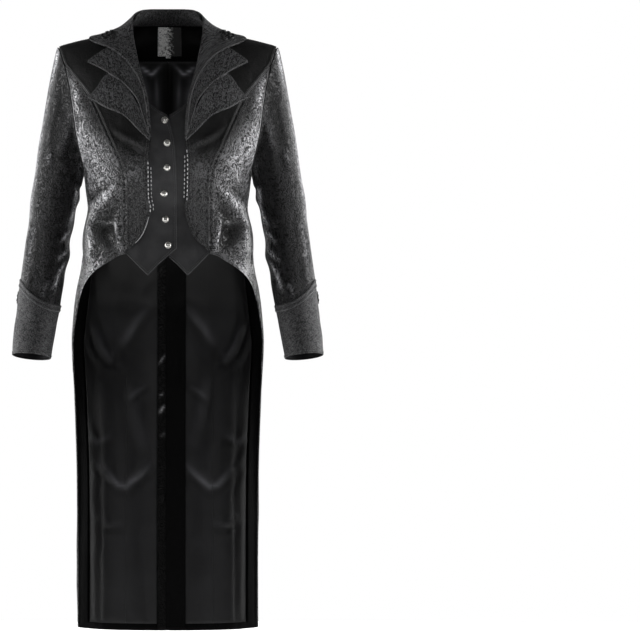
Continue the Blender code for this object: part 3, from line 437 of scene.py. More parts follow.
def skin(angle, z, out=0.0):
    # a point of the wearer's left half, out along the body's normal
    here = ringPoint(angle, z)
    around = ringPoint(np.minimum(angle + 0.02, math.pi), z) - ringPoint(np.maximum(angle - 0.02, 0), z)
    down = ringPoint(angle, z - 0.003) - ringPoint(angle, z + 0.003)
    normal = unit(np.cross(around, down))
    facing = normal[..., 0] * np.sin(angle) - normal[..., 1] * np.cos(angle)
    normal *= np.where(facing < 0, -1, 1)[..., None]
    return here + np.asarray(out + 0 * angle)[..., None] * normal


def angleAt(x, z, back=False):
    share = np.clip(np.maximum(x, 0) / halfWidthAt(z), 0, 1)
    angle = np.arcsin(share ** (bodyForm["squareness"] / 2))
    return math.pi - angle if back else angle


def mirrored(points, side):
    return points * np.array([side, 1, 1])


def acrossMiddle(points, x, side=1):
    # points that were found for the distance from the middle go to the side where x is
    return points * np.stack([np.where(x >= 0, side, -side), 1 + 0 * x, 1 + 0 * x], -1)


def onBack(x, z, out):
    return acrossMiddle(skin(angleAt(np.abs(x), z, True), z, out), x)


# creases: each is a line of points with a ridge along it and a hollow beside it

def creaseDepth(a, b, creases, usual=0.5):
    # a row is the line, its depth and width, and the share of the hollow beside it where that isn't the usual one
    total = np.zeros(np.broadcast(a, b).shape)
    for line, depth, width, *given in creases:
        hollow = given[0] if given else usual
        size = sum(math.dist(p, q) for p, q in zip(line, line[1:]))
        best, signed, along, travelled = np.full(total.shape, 9.0), total * 0, total * 0, 0.0
        for (a0, b0), (a1, b1) in zip(line, line[1:]):
            da, db = a1 - a0, b1 - b0
            length = math.hypot(da, db)
            t = np.clip(((a - a0) * da + (b - b0) * db) / length**2, 0, 1)
            distance = np.hypot(a - a0 - t * da, b - b0 - t * db)
            side = np.sign(da * (b - b0) - db * (a - a0))
            nearer = distance < best
            best = np.where(nearer, distance, best)
            signed = np.where(nearer, distance * side, signed)
            along = np.where(nearer, (travelled + t * length) / size, along)
            travelled += length
        s = signed / width
        taper = np.clip(np.sin(math.pi * np.clip(along, 0, 1)), 0, 1) ** 0.7
        total = total + depth * taper * (np.exp(-(s**2)) - hollow * np.exp(-((s - 1.8) ** 2)))
    return total


def bodyCreases(points, creases, usual=0.5):
    return creaseDepth(np.abs(points[..., 0]), points[..., 2], creases, usual)


def ripple(points, seed, size, depth, stretch=(1, 1, 0.45)):
    # soft unevenness: a few crossing waves, longer down the cloth than across it
    dice = np.random.default_rng(seed)
    total = 0
    for _ in range(8):
        direction = dice.normal(size=3)
        direction = direction / np.linalg.norm(direction) * np.array(stretch)
        waves = points @ direction * (2 * math.pi / size) * dice.uniform(0.7, 1.5)
        total = total + np.sin(waves + dice.uniform(0, 6.28))
    return depth * total / 2.8


# building cloth

def edgeShares(count, extra=(0.006, 0.014, 0.024, 0.036)):
    # even columns, with more of them beside the two edges
    even = np.linspace(0, 1, count + 1)
    kept = even[(even <= 0) | (even >= 1) | ((even > extra[-1] + 0.01) & (even < 0.99 - extra[-1]))]
    close = [e for d in extra for e in (d, 1 - d)]
    return np.unique(np.round(np.concatenate([kept, close]), 5))


def evenShares(count):
    return np.linspace(0, 1, count + 1)


def running(points, axis):
    step = np.linalg.norm(np.diff(points, axis=axis), axis=-1)
    start = np.zeros_like(np.take(step, [0], axis=axis))
    return np.concatenate([start, np.cumsum(step, axis=axis)], axis=axis)


def gridNormals(points, outward):
    across = np.gradient(points, axis=1)
    down = np.gradient(points, axis=0)
    normals = unit(np.cross(across, down))
    if (normals * outward(points)).sum() < 0:
        normals = -normals
    return normals


def pieceFrom(name, shell):
    mesh = bpy.data.meshes.new(name)
    shell.to_mesh(mesh)
    shell.free()
    mesh.shade_smooth()
    thing = bpy.data.objects.new(name, mesh)
    bpy.context.scene.collection.objects.link(thing)
    return thing


def thicken(thing, wall, rounding, segments, degrees):
    # a wall inwards from the surface, with soft edges
    thick = thing.modifiers.new("wall", "SOLIDIFY")
    thick.thickness, thick.offset, thick.use_even_offset = wall, -1, False
    soft = thing.modifiers.new("softEdge", "BEVEL")
    soft.width, soft.segments, soft.limit_method, soft.angle_limit = rounding, segments, "ANGLE", math.radians(degrees)
    return thick


def rideAs(thing, material, nodes=()):
    if material:
        thing.data.materials.append(material)
    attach(thing, "root")
    if nodes:
        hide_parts(*nodes)
    return thing


def makeCloth(name, us, vs, place, outward, wall, materials, node, relief=None, closed=False,
              cut=None, tone=None):
    # place(u, v, out) gives the points; relief(points, fromLeft, fromRight, fromTop, fromBottom) gives how far out
    # tone(points, u, v) gives the painted light along the folds: painted highlight above 0, painted shade below it
    u, v = np.meshgrid(us, vs)
    if closed:
        u[:, -1] = u[:, 0]
    flatForm = place(u, v, 0 * u)
    across, down = running(flatForm, 1), running(flatForm, 0)
    points = flatForm
    if relief is not None:
        out = relief(flatForm, across, across[:, -1:] - across, down, down[-1:, :] - down)
        if closed:
            out[:, -1] = out[:, 0]
        points = place(u, v, out)
    columns, rows = len(us) - 1, len(vs) - 1
    shell = bmesh.new()
    bmesh.ops.create_grid(shell, x_segments=columns, y_segments=rows, size=0.5)
    uv = shell.loops.layers.uv.new("cloth")
    # each vertex carries its painted highlight or painted shade for the cloth's colour
    paintedFoldLight = shell.verts.layers.float.new("paintedFoldLight")
    shade = tone(flatForm, u, v) if tone else 0 * u
    spots = [(round((p.co.y + 0.5) * rows), round((p.co.x + 0.5) * columns)) for p in shell.verts]
    middle = across[:, columns // 2 : columns // 2 + 1]
    for face in shell.faces:
        for corner in face.loops:
            spot = spots[corner.vert.index]
            corner[uv].uv = (across[spot] - middle[spot[0], 0], down[spot])
    for vert, spot in zip(shell.verts, spots):
        vert.co = points[spot]
        vert[paintedFoldLight] = float(shade[spot])
    bmesh.ops.remove_doubles(shell, verts=shell.verts, dist=0.00004)
    bmesh.ops.dissolve_degenerate(shell, edges=shell.edges, dist=0.00004)
    shell.normal_update()
    step = max(1, len(shell.faces) // 400)
    sample = [(f.normal, f.calc_center_median(), f.calc_area()) for f in list(shell.faces)[::step]]
    facing = sum(Vector(outward(np.array(centre))).dot(normal) * size for normal, centre, size in sample)
    if facing < 0:
        bmesh.ops.reverse_faces(shell, faces=shell.faces)
    thing = pieceFrom(name, shell)
    for material in materials:
        thing.data.materials.append(material)
    thicken(thing, wall, wall * 0.3, 2, 55).material_offset = 1 if len(materials) > 1 else 0
    rideAs(thing, None, [node] if node else ())
    return {"points": points, "across": across, "down": down, "normals": gridNormals(points, outward)}


def insetLine(cloth, edge, inset, lift=0.0):
    # the line on a finished cloth that runs at a distance inside one of its edges
    points, normals = cloth["points"], cloth["normals"]
    grid = points + lift * normals
    lines, directions = [], []
    if edge in ("left", "right"):
        strips = zip(cloth["across"], grid, normals)
    else:
        strips = zip(cloth["down"].T, grid.swapaxes(0, 1), normals.swapaxes(0, 1))
    for way, spots, outwards in strips:
        at = inset if edge in ("left", "top") else way[-1] - inset
        if way[-1] >= 1.5 * inset:
            lines.append([np.interp(at, way, spots[:, k]) for k in range(3)])
            directions.append([np.interp(at, way, outwards[:, k]) for k in range(3)])
    return np.array(lines), np.array(directions)


def along(line, others, spacing, margin=0.0):
    way = np.concatenate([[0], np.cumsum(np.linalg.norm(np.diff(line, axis=0), axis=1))])
    count = max(2, int((way[-1] - 2 * margin) / spacing))
    at = np.linspace(margin, way[-1] - margin, count)
    points = np.stack([np.interp(at, way, line[:, k]) for k in range(3)], 1)
    sides = np.stack([np.interp(at, way, others[:, k]) for k in range(3)], 1)
    return points, sides


stitchLook = {"spacing": 0.0032, "length": 0.0023, "radius": 0.00032, "sunk": 0.00005}


def makeStitches(name, lines, material=None, look=stitchLook):
    # each stitch is a small bead of thread, laid along its line
    sewing, batch, count = bmesh.new(), bmesh.new(), 0
    held = bpy.data.meshes.new(name + ".batch")
    for line, sides in lines:
        if len(line) < 3:
            continue
        points, normals = along(line, sides, look["spacing"], look["spacing"])
        heading = np.gradient(points, axis=0)
        for point, direction, normal in zip(points, heading, normals):
            ahead = Vector(direction)
            if ahead.length < 1e-9:
                continue
            ahead.normalize()
            up = Vector(normal).normalized()
            beside = up.cross(ahead).normalized()
            up = ahead.cross(beside)
            turn = Matrix((ahead, beside, up)).transposed().to_4x4()
            shape = Matrix.Diagonal((look["length"] / 2, look["radius"] * 1.3, look["radius"], 1))
            spot = Matrix.Translation(Vector(point) + up * look["sunk"])
            bmesh.ops.create_icosphere(batch, subdivisions=1, radius=1, matrix=spot @ turn @ shape)
            count += 1
            if count % 60 == 0:
                batch.to_mesh(held)
                batch.clear()
                sewing.from_mesh(held)
    batch.to_mesh(held)
    batch.free()
    sewing.from_mesh(held)
    bpy.data.meshes.remove(held)
    return rideAs(pieceFrom(name, sewing), material or thread)


def makeTubes(name, lines, radius, material, nodes=()):
    # round braid along each line; its ends narrow and close
    braid, sides, ends = bmesh.new(), 8, 0.35
    for line in lines:
        line = np.array(line, float)
        heading = unit(np.gradient(line, axis=0))
        rows = len(line) - 1
        made = bmesh.ops.create_grid(braid, x_segments=sides, y_segments=rows, size=0.5)["verts"]
        up = Vector((0.3, -0.5, 0.8))
        frames = []
        for ahead in map(Vector, heading):
            beside = ahead.cross(up).normalized()
            up = beside.cross(ahead).normalized()
            frames.append((beside.copy(), up.copy()))
        for vert in made:
            row, column = round((vert.co.y + 0.5) * rows), round((vert.co.x + 0.5) * sides) % sides
            beside, above = frames[row]
            turn = 2 * math.pi * column / sides
            narrow = ends + (1 - ends) * math.sin(math.pi * row / rows) ** 0.25 if 0 < row < rows else ends
            vert.co = Vector(line[row]) + (beside * math.cos(turn) + above * math.sin(turn)) * radius * narrow
    bmesh.ops.remove_doubles(braid, verts=braid.verts, dist=0.00002)
    bmesh.ops.holes_fill(braid, edges=[e for e in braid.edges if e.is_boundary], sides=sides + 2)
    bmesh.ops.recalc_face_normals(braid, faces=braid.faces)
    return rideAs(pieceFrom(name, braid), material, nodes)


def fromAxis(points):
    return points * np.array([1, 1, 0])


# body panels

seamLines = {
    "frontPrincess": ((-0.068, -0.083, -0.1215, -0.177, -0.228, -0.266, -0.292, -0.46),
                      (0.1885, 0.1765, 0.146, 0.1165, 0.0934, 0.0805, 0.0789, 0.0789)),
    "backPrincess": ((-0.068, -0.094, -0.119, -0.15, -0.205, -0.26, -0.335, -0.42, -0.7, -1.115),
                     (0.182, 0.158, 0.141, 0.127, 0.111, 0.096, 0.083, 0.08, 0.08, 0.082)),
    "frontEdge": ((0.003, -0.013, -0.03, -0.045, -0.06, -0.089, -0.129, -0.177, -0.205, -0.242, -0.312, -0.332,
                   -0.353, -0.377, -0.392, -0.403, -0.41),
                  (0.0665, 0.065, 0.062, 0.0588, 0.0554, 0.048, 0.0374, 0.033, 0.0316, 0.0355, 0.0345, 0.031,
                   0.0355, 0.044, 0.054, 0.067, 0.075)),
    "armholeFront": ((-0.033, -0.04, -0.05, -0.071, -0.1, -0.13, -0.16, -0.186, -0.215, -0.242, -0.262, -0.272),
                     (0.203, 0.1995, 0.1965, 0.19, 0.1835, 0.178, 0.173, 0.169, 0.164, 0.1585, 0.1555, 0.155)),
    "armholeBack": ((-0.033, -0.04, -0.05, -0.071, -0.1, -0.13, -0.16, -0.186, -0.215, -0.242, -0.262, -0.272),
                    (0.203, 0.197, 0.191, 0.1835, 0.175, 0.168, 0.16, 0.153, 0.1475, 0.1455, 0.1475, 0.155)),
    "cutaway": ((25, 31, 41, 51, 62, 71, 75, 80, 85, 90),
                (-0.4165, -0.419, -0.431, -0.443, -0.459, -0.48, -0.505, -0.548, -0.595, -0.64)),
    "liningSide": ((-0.0575, -0.15, -0.272, -0.4, -0.577), (0.09, 0.115, 0.128, 0.14, 0.16)),
    "ventFacing": ((-0.3, -0.47, -0.56, -1.115), (0.0004, 0.001, 0.024, 0.027)),
}
seamAt = {name: monotone(*line) for name, line in seamLines.items()}


def armholeAngle(z, back=False):
    return angleAt(seamAt["armholeBack" if back else "armholeFront"](z), z, back)


def inArmhole(z):
    return (z < bodyForm["shoulder"]) & (z > bodyForm["armpit"])


def frontSide(z):
    seam = math.pi / 2 - bodyForm["sideSeam"]
    return np.where(inArmhole(z), np.minimum(armholeAngle(z), seam), seam)


def backSide(z):
    seam = math.pi / 2 + bodyForm["sideSeam"]
    return np.where(inArmhole(z), np.maximum(armholeAngle(z, True), seam), seam)


def seamAngle(name, z, back=False, shift=0.0):
    return angleAt(seamAt[name](z) + shift, z, back)


def frontOuter(z):
    return np.where(z > bodyForm["princessTop"], frontSide(z), seamAngle("frontPrincess", z))


def backOuter(z):
    return np.where(z > bodyForm["princessTop"], backSide(z), seamAngle("backPrincess", z, True))


def centreBack(z):
    gap = bodyForm["ventGap"] * smoothstep(-z, -bodyForm["ventTop"], -bodyForm["hemCentre"])
    return angleAt(gap, z, True)


def tailHem(angle):
    share = (math.pi - angle) / (math.pi / 2)
    return bodyForm["hemCentre"] + (bodyForm["hemSide"] - bodyForm["hemCentre"]) * share**2


def panelPlace(side, inner, outer, top, bottom, base=0.0):
    # bottom is a height, or a function of the ring angle
    def place(u, v, out):
        low = np.full(u.shape, bottom if not callable(bottom) else -0.9)
        if callable(bottom):
            for _ in range(30):
                angle = inner(low) + (outer(low) - inner(low)) * u
                low = 0.5 * low + 0.5 * bottom(angle)
        z = top + (low - top) * v
        angle = inner(z) + (outer(z) - inner(z)) * u
        return mirrored(skin(angle, z, out + base), side)

    return place


def panelCut(inner, outer, top, bottom, profile):
    # the rectangle the flat piece is cut from: its widest level by its length over the body's curve
    lowest = bottom if not callable(bottom) else float(bottom(np.linspace(0.45, math.pi, 200)).min())
    u, z = np.meshgrid(np.linspace(0, 1, 61), np.linspace(top, lowest, 120))
    angle = inner(z) + (outer(z) - inner(z)) * u
    steps = np.linalg.norm(np.diff(skin(angle, z), axis=1), axis=-1)
    shown = z > bottom(angle) if callable(bottom) else z > -9
    heights = np.linspace(top, lowest, 400)
    length = np.hypot(np.diff(heights), np.diff(profile(heights))).sum()
    return float((steps * shown[:, 1:]).sum(1).max()), float(length)


def heightShares(top, bottom, step):
    shelf = np.linspace(top, -0.038, 15) if top > -0.03 else np.array([top])
    rest = np.linspace(shelf[-1], bottom, int((shelf[-1] - bottom) / step) + 1)[1:]
    return (top - np.concatenate([shelf, rest])) / (top - bottom)


panelLook = {
    "wall": 0.0016, "step": 0.0058, "dip": 0.0007, "reach": 0.0016,
    "welt": 0.0006, "weltAt": 0.0042, "weltWide": 0.002,
}
frontCreases = (
    (((0.156, -0.42), (0.148, -0.385), (0.136, -0.352), (0.118, -0.322), (0.096, -0.296)), 0.009, 0.012),
    (((0.13, -0.338), (0.117, -0.372), (0.104, -0.415)), -0.007, 0.012, 0),
    (((0.128, -0.36), (0.116, -0.362), (0.101, -0.359)), 0.0042, 0.0055),
    (((0.099, -0.346), (0.094, -0.376), (0.087, -0.416)), 0.0046, 0.0052),
    (((0.108, -0.178), (0.094, -0.19), (0.068, -0.207), (0.036, -0.222)), 0.0032, 0.006),
    (((0.08, -0.205), (0.06, -0.222), (0.04, -0.236)), -0.003, 0.009, 0),
    (((0.166, -0.12), (0.15, -0.18), (0.146, -0.255)), 0.0022, 0.014),
    (((0.184, -0.078), (0.172, -0.108), (0.164, -0.15)), 0.002, 0.007),
    (((0.15, -0.48), (0.128, -0.452), (0.108, -0.432)), 0.0024, 0.01),
    (((0.142, -0.3), (0.124, -0.268), (0.1, -0.25)), 0.0016, 0.011),
)
backCreases = (
    (((0.06, -0.432), (0.05, -0.458), (0.048, -0.486)), 0.003, 0.006),
    (((0.03, -0.428), (0.036, -0.455), (0.034, -0.48)), 0.0024, 0.006),
    (((0.094, -0.4), (0.09, -0.44), (0.1, -0.48)), 0.003, 0.009),
    (((0.128, -0.396), (0.118, -0.45), (0.126, -0.52)), 0.003, 0.01),
    (((0.092, -0.25), (0.08, -0.29), (0.078, -0.33)), 0.002, 0.006),
    (((0.07, -0.335), (0.05, -0.322), (0.034, -0.33)), 0.0018, 0.005),
    (((0.14, -0.28), (0.12, -0.31), (0.108, -0.345)), 0.0026, 0.008),
    (((0.13, -0.15), (0.124, -0.19), (0.118, -0.23)), 0.0014, 0.006),
    (((0.072, -0.372), (0.058, -0.376), (0.046, -0.372)), 0.0014, 0.004),
    (((0.118, -0.56), (0.11, -0.68), (0.12, -0.82)), 0.0026, 0.012),
    (((0.044, -0.56), (0.04, -0.7), (0.046, -0.86)), 0.002, 0.011),
)


# painted light: lines of painted highlight where the depth is above 0 and painted shade where it is below, along the
# cloth's folds, and no hollow beside a line where none is given
frontPaintedLight = (
    (((0.166, -0.15), (0.146, -0.205), (0.126, -0.25), (0.11, -0.31)), 0.62, 0.027),
    (((0.18, -0.15), (0.162, -0.24), (0.15, -0.33), (0.156, -0.42), (0.166, -0.56)), 1.00, 0.013),
    (((0.152, -0.47), (0.15, -0.415), (0.1475, -0.362), (0.134, -0.331), (0.1126, -0.308), (0.088, -0.284)),
     1.3, 0.0096),
    (((0.16, -0.5), (0.146, -0.45), (0.118, -0.426)), 1.1, 0.014),
    (((0.128, -0.35), (0.119, -0.378), (0.106, -0.408)), -1.7, 0.0135),
    (((0.116, -0.385), (0.106, -0.345), (0.098, -0.325)), -1.1, 0.008),
    (((0.132, -0.356), (0.116, -0.361), (0.099, -0.357)), 1.7, 0.0042),
    (((0.1, -0.344), (0.094, -0.378), (0.086, -0.42)), 1.2, 0.0048, 0.6),
    (((0.158, -0.105), (0.14, -0.145), (0.116, -0.186), (0.09, -0.214), (0.05, -0.224)), -1.1, 0.013),
    (((0.178, -0.08), (0.17, -0.115), (0.162, -0.16)), 1.1, 0.0075),
    (((0.104, -0.176), (0.09, -0.192), (0.064, -0.208), (0.044, -0.214)), 1.0, 0.0042),
    (((0.148, -0.322), (0.13, -0.304), (0.104, -0.286)), -0.55, 0.005),
    (((0.078, -0.25), (0.06, -0.262), (0.044, -0.262)), 0.45, 0.02),
)
backPaintedLight = (
    (((0.124, -0.19), (0.112, -0.24), (0.104, -0.3), (0.104, -0.37)), 1.6, 0.014),
    (((0.15, -0.25), (0.14, -0.32), (0.146, -0.4), (0.156, -0.5)), 0.8, 0.01),
    (((0.092, -0.395), (0.082, -0.44), (0.088, -0.5)), 1.55, 0.006, 0.6),
    (((0.062, -0.33), (0.044, -0.32), (0.026, -0.328)), 1.1, 0.004, 0.5),
    (((0.064, -0.372), (0.048, -0.378), (0.03, -0.372)), 0.55, 0.0036, 0.5),
    (((0.06, -0.43), (0.05, -0.47), (0.054, -0.52)), 1.65, 0.006, 0.5),
    (((0.12, -0.54), (0.112, -0.7), (0.122, -0.88)), 0.4, 0.01, 0.5),
    (((0.044, -0.56), (0.04, -0.72), (0.046, -0.9)), 0.3, 0.008, 0.5),
)


def panelPaintedLightOf(tones):
    return lambda points, u, v: bodyCreases(points, tones, 0)


def welt(out, distance):
    out = out - panelLook["dip"] * hump(distance, panelLook["reach"])
    return out + panelLook["welt"] * hump(distance - panelLook["weltAt"], panelLook["weltWide"])


def panelRelief(creases, seed, welted):
    # welted: which of the two long edges are sewn
    def relief(points, fromLeft, fromRight, fromTop, fromBottom):
        out = bodyCreases(points, creases)
        out = out + ripple(points, seed, 0.085, 0.0006) + ripple(points, seed + 1, 0.03, 0.00022)
        sewn = [{"left": fromLeft, "right": fromRight}[edge] for edge in welted]
        quiet = 1.0
        for distance in sewn:
            quiet = quiet * smoothstep(distance, 0.0, 0.012)
        out = out * quiet
        for distance in sewn:
            out = welt(out, distance)
        return out

    return relief


panels = {
    # inner edge, outer edge, top, bottom, profile, columns, rows, creases, sewn edges, outer and inner cloth
    "front": (lambda z: seamAngle("frontEdge", z), frontOuter, 0.003, -0.41, frontAt, 30,
              heightShares(0.003, -0.41, 0.0044), frontCreases, ("right",), [frontSatinShaded, liningSatin]),
    "side_front": (lambda z: seamAngle("frontPrincess", z), frontSide, -0.068,
                   lambda angle: seamAt["cutaway"](np.degrees(angle)), frontAt, 30,
                   evenShares(110), frontCreases, ("left", "right"), [satin, liningSatin]),
    "back": (centreBack, backOuter, 0.003, tailHem, backAt, 24,
             heightShares(0.003, -1.114, panelLook["step"]), backCreases, ("left", "right"), [backSatinShaded, insideSatin]),
    "side_back": (lambda z: seamAngle("backPrincess", z, True), backSide, -0.068, tailHem, backAt, 24,
                  evenShares(170), backCreases, ("left", "right"), [backSatinShaded, insideSatin]),
}
cloths = {}
for side, tag, seed in ((1, "left", 11), (-1, "right", 47)):
    for number, (name, panel) in enumerate(panels.items()):
        inner, outer, top, bottom, profile, columns, rows, creases, sewnEdges, materials = panel
        cloths[name, tag] = makeCloth(
            f"{name}Cloth.{tag}", edgeShares(columns), rows, panelPlace(side, inner, outer, top, bottom), fromAxis,
            panelLook["wall"], materials, f"{name}_{tag}", panelRelief(creases, seed + 4 * number, sewnEdges),
            cut=panelCut(inner, outer, top, bottom, profile),
            tone=panelPaintedLightOf(frontPaintedLight if "front" in name else backPaintedLight),
        )
print("body panels made")


# lining, neck facing and label

liningLook = {
    "wall": 0.0011, "facingWall": 0.0012, "labelWall": 0.001, "ease": 0.0021,
    "top": -0.0575, "hemRise": 0.0125, "innerShift": {"left": -0.0004, "right": -0.0065},
    "facingHalf": 0.072, "labelHalf": 0.0223, "labelX": 0.0037, "labelTop": 0.0075, "labelBottom": -0.0465,
}
liningCreases = (
    (((0.004, -0.062), (0.003, -0.11), (0.002, -0.18)), 0.003, 0.005),
    (((0.026, -0.066), (0.034, -0.09), (0.026, -0.112)), 0.0026, 0.006),
    (((0.05, -0.066), (0.042, -0.092), (0.03, -0.124)), 0.0022, 0.006),
    (((0.14, -0.798), (0.12, -0.82), (0.093, -0.844), (0.078, -0.847)), 0.003, 0.0085),
    (((0.078, -0.847), (0.056, -0.828), (0.03, -0.8)), 0.0036, 0.0085),
    (((0.146, -0.745), (0.13, -0.762), (0.104, -0.754)), 0.0016, 0.008),
    (((0.142, -0.54), (0.124, -0.59), (0.108, -0.612), (0.098, -0.59)), 0.003, 0.01),
    (((0.092, -0.592), (0.062, -0.545), (0.03, -0.505)), 0.0028, 0.0095),
    (((0.078, -0.69), (0.058, -0.672), (0.036, -0.66)), 0.0022, 0.006),
    (((0.134, -0.905), (0.108, -0.92), (0.078, -0.918)), 0.0024, 0.009),
    (((0.07, -0.64), (0.058, -0.72), (0.04, -0.79)), 0.0018, 0.012),
)
# painted light on the lining: a painted dark band across at the waist, painted highlights on the folds at the neck and
# on the tails, a painted dark line down the centre pleat, and painted shade in bands down the sides
liningPaintedLight = (
    (((-0.1, -0.448), (0.25, -0.466)), -0.95, 0.046),
    (((0.006, -0.06), (0.03, -0.082), (0.05, -0.068), (0.06, -0.062)), 2.45, 0.005),
    (((0.05, -0.064), (0.04, -0.11), (0.03, -0.16)), 1.6, 0.01),
    (((0.022, -0.075), (0.02, -0.12), (0.018, -0.16)), 1.6, 0.006),
    (((0.000, -0.06), (0.001, -0.12), (0.000, -0.18)), -1.8, 0.006),
    (((0.15, -0.785), (0.12, -0.815), (0.093, -0.846), (0.078, -0.85), (0.052, -0.826), (0.02, -0.795)),
     1.3, 0.0078, 0.3),
    (((0.156, -0.748), (0.134, -0.768), (0.104, -0.753)), 1.2, 0.007, 0.5),
    (((0.148, -0.45), (0.148, -0.65), (0.142, -0.9), (0.142, -1.3)), -1.0, 0.03),
    (((0.15, -0.3), (0.12, -0.42), (0.075, -0.53)), -0.8, 0.03),
    (((0.142, -0.54), (0.124, -0.59), (0.108, -0.612), (0.098, -0.59)), 1.0, 0.0075, 0.5),
    (((0.092, -0.592), (0.062, -0.545), (0.03, -0.505)), 1.0, 0.009, 0.4),
    (((0.078, -0.69), (0.058, -0.672), (0.036, -0.66)), 0.7, 0.005, 0.8),
    (((0.134, -0.905), (0.108, -0.92), (0.078, -0.918)), 0.55, 0.007, 0.8),
    (((0.07, -0.64), (0.058, -0.72), (0.04, -0.79)), 0.45, 0.012, 0.5),
)
insideOut = -(panelLook["wall"] + liningLook["ease"])


def liningOuter(z):
    return angleAt(np.minimum(seamAt["liningSide"](z), 0.9 * halfWidthAt(z)), z, True)


def liningRelief(seed):
    # it only moves away from the cloth behind it, so folds go inwards
    def relief(points, fromLeft, fromRight, fromTop, fromBottom):
        out = bodyCreases(points, liningCreases)
        out = out + ripple(points, seed, 0.07, 0.0008)
        out = out * smoothstep(fromTop, 0, 0.012) * smoothstep(fromBottom, 0, 0.01)
        return -np.abs(out) * 0.9

    return relief


# painted glints on the crushed facing of the wearer's right
facingPaintedGlints = (
    (((0.019, -0.626), (0.01, -0.612), (0.001, -0.6)), 2.8, 0.004),
    (((0.019, -0.684), (0.005, -0.674)), 2.7, 0.0034),
    (((0.019, -0.718), (0.009, -0.703), (0.001, -0.696)), 3.1, 0.005),
    (((0.017, -0.758), (0.003, -0.75)), 2.3, 0.004),
)
for side, tag, seed in ((1, "left", 5), (-1, "right", 8)):
    def liningInner(z, shift=liningLook["innerShift"][tag]):
        return seamAngle("ventFacing", z, True, shift)

    place = panelPlace(side, liningInner, liningOuter, liningLook["top"],
                       lambda angle: tailHem(angle) + liningLook["hemRise"], insideOut)
    cloths["lining", tag] = makeCloth(
        f"liningCloth.{tag}", evenShares(44), evenShares(180), place, fromAxis, liningLook["wall"],
        [liningSatin], f"lining_{tag}", liningRelief(seed),
        cut=panelCut(liningInner, liningOuter, liningLook["top"], tailHem, backAt), tone=panelPaintedLightOf(liningPaintedLight),
    )


def acrossBack(halfWidth, top, bottom, centre=0.0, base=0.0):
    def place(u, v, out):
        x = centre + halfWidth * (2 * u - 1)
        z = top + (bottom - top) * v
        return onBack(x, z, out + base)

    return place


# the black facings down the centre: the wearer's right one is crushed and a little glossy, with painted glints on it,
# the left one laps under the vent
ventForm = {
    "top": -0.3, "bottom": -1.1172, "wall": 0.0008, "apart": 0.0032,
    # half width, middle and how much further in
    "strips": {"right": (0.0098, 0.0098, 0.0), "left": (0.019, -0.015, 0.0014)},
}
ventOut = insideOut - liningLook["wall"] - ventForm["apart"]
for tag, (half, middle, further) in ventForm["strips"].items():
    makeCloth(
        f"ventFacing.{tag}", evenShares(14), evenShares(170),
        acrossBack(half, ventForm["top"], ventForm["bottom"], -middle, ventOut - further), fromAxis, ventForm["wall"],
        [crushedFacing if tag == "right" else insideSatin], None,
        lambda p, a, b, c, d: -np.abs(ripple(p, 17, 0.06, 0.0006)) * smoothstep(np.minimum(a, b), 0, 0.006),
        cut=panelCut(lambda z: angleAt(0 * z, z, True), lambda z, half=half: angleAt(2 * half + 0 * z, z, True),
                     ventForm["top"], ventForm["bottom"], backAt),
        tone=panelPaintedLightOf(facingPaintedGlints) if tag == "right" else None,
    )
for side, tag in ((1, "left"), (-1, "right")):
    # the pressed-open seam shows inside the hem, below the lining
    makeCloth(
        f"seamAllowance.{tag}", evenShares(8), evenShares(10),
        acrossBack(0.007, -1.085, -1.1152, side * 0.0822, -0.0026), fromAxis, 0.0006, [insideSatin], None,
    )
makeCloth(
    "neckFacingCloth", evenShares(40), evenShares(16),
    acrossBack(liningLook["facingHalf"], 0.0092, -0.0565, 0.0, insideOut),
    fromAxis, liningLook["facingWall"], [insideSatin], "neck_facing",
    lambda p, a, b, c, d: -np.abs(ripple(p, 3, 0.05, 0.0003)),
)
labelOut = insideOut - liningLook["facingWall"] - 0.0005
labelCloth = makeCloth(
    "labelCloth", evenShares(24), evenShares(24),
    acrossBack(*(liningLook["label" + key] for key in ("Half", "Top", "Bottom", "X")), labelOut),
    fromAxis, liningLook["labelWall"], [label], "label",
    lambda p, a, b, c, d: -0.0004 * (1 - hump(np.minimum(np.minimum(a, b), np.minimum(c, d)), 0.004)),
)
makeCloth(
    "sizeTab", evenShares(6), evenShares(8), acrossBack(0.0051, -0.04, -0.0506, 0.0015, labelOut + 0.0004),
    fromAxis, 0.0003, [label], None,
)
print("lining and label made")


# collar and lapels

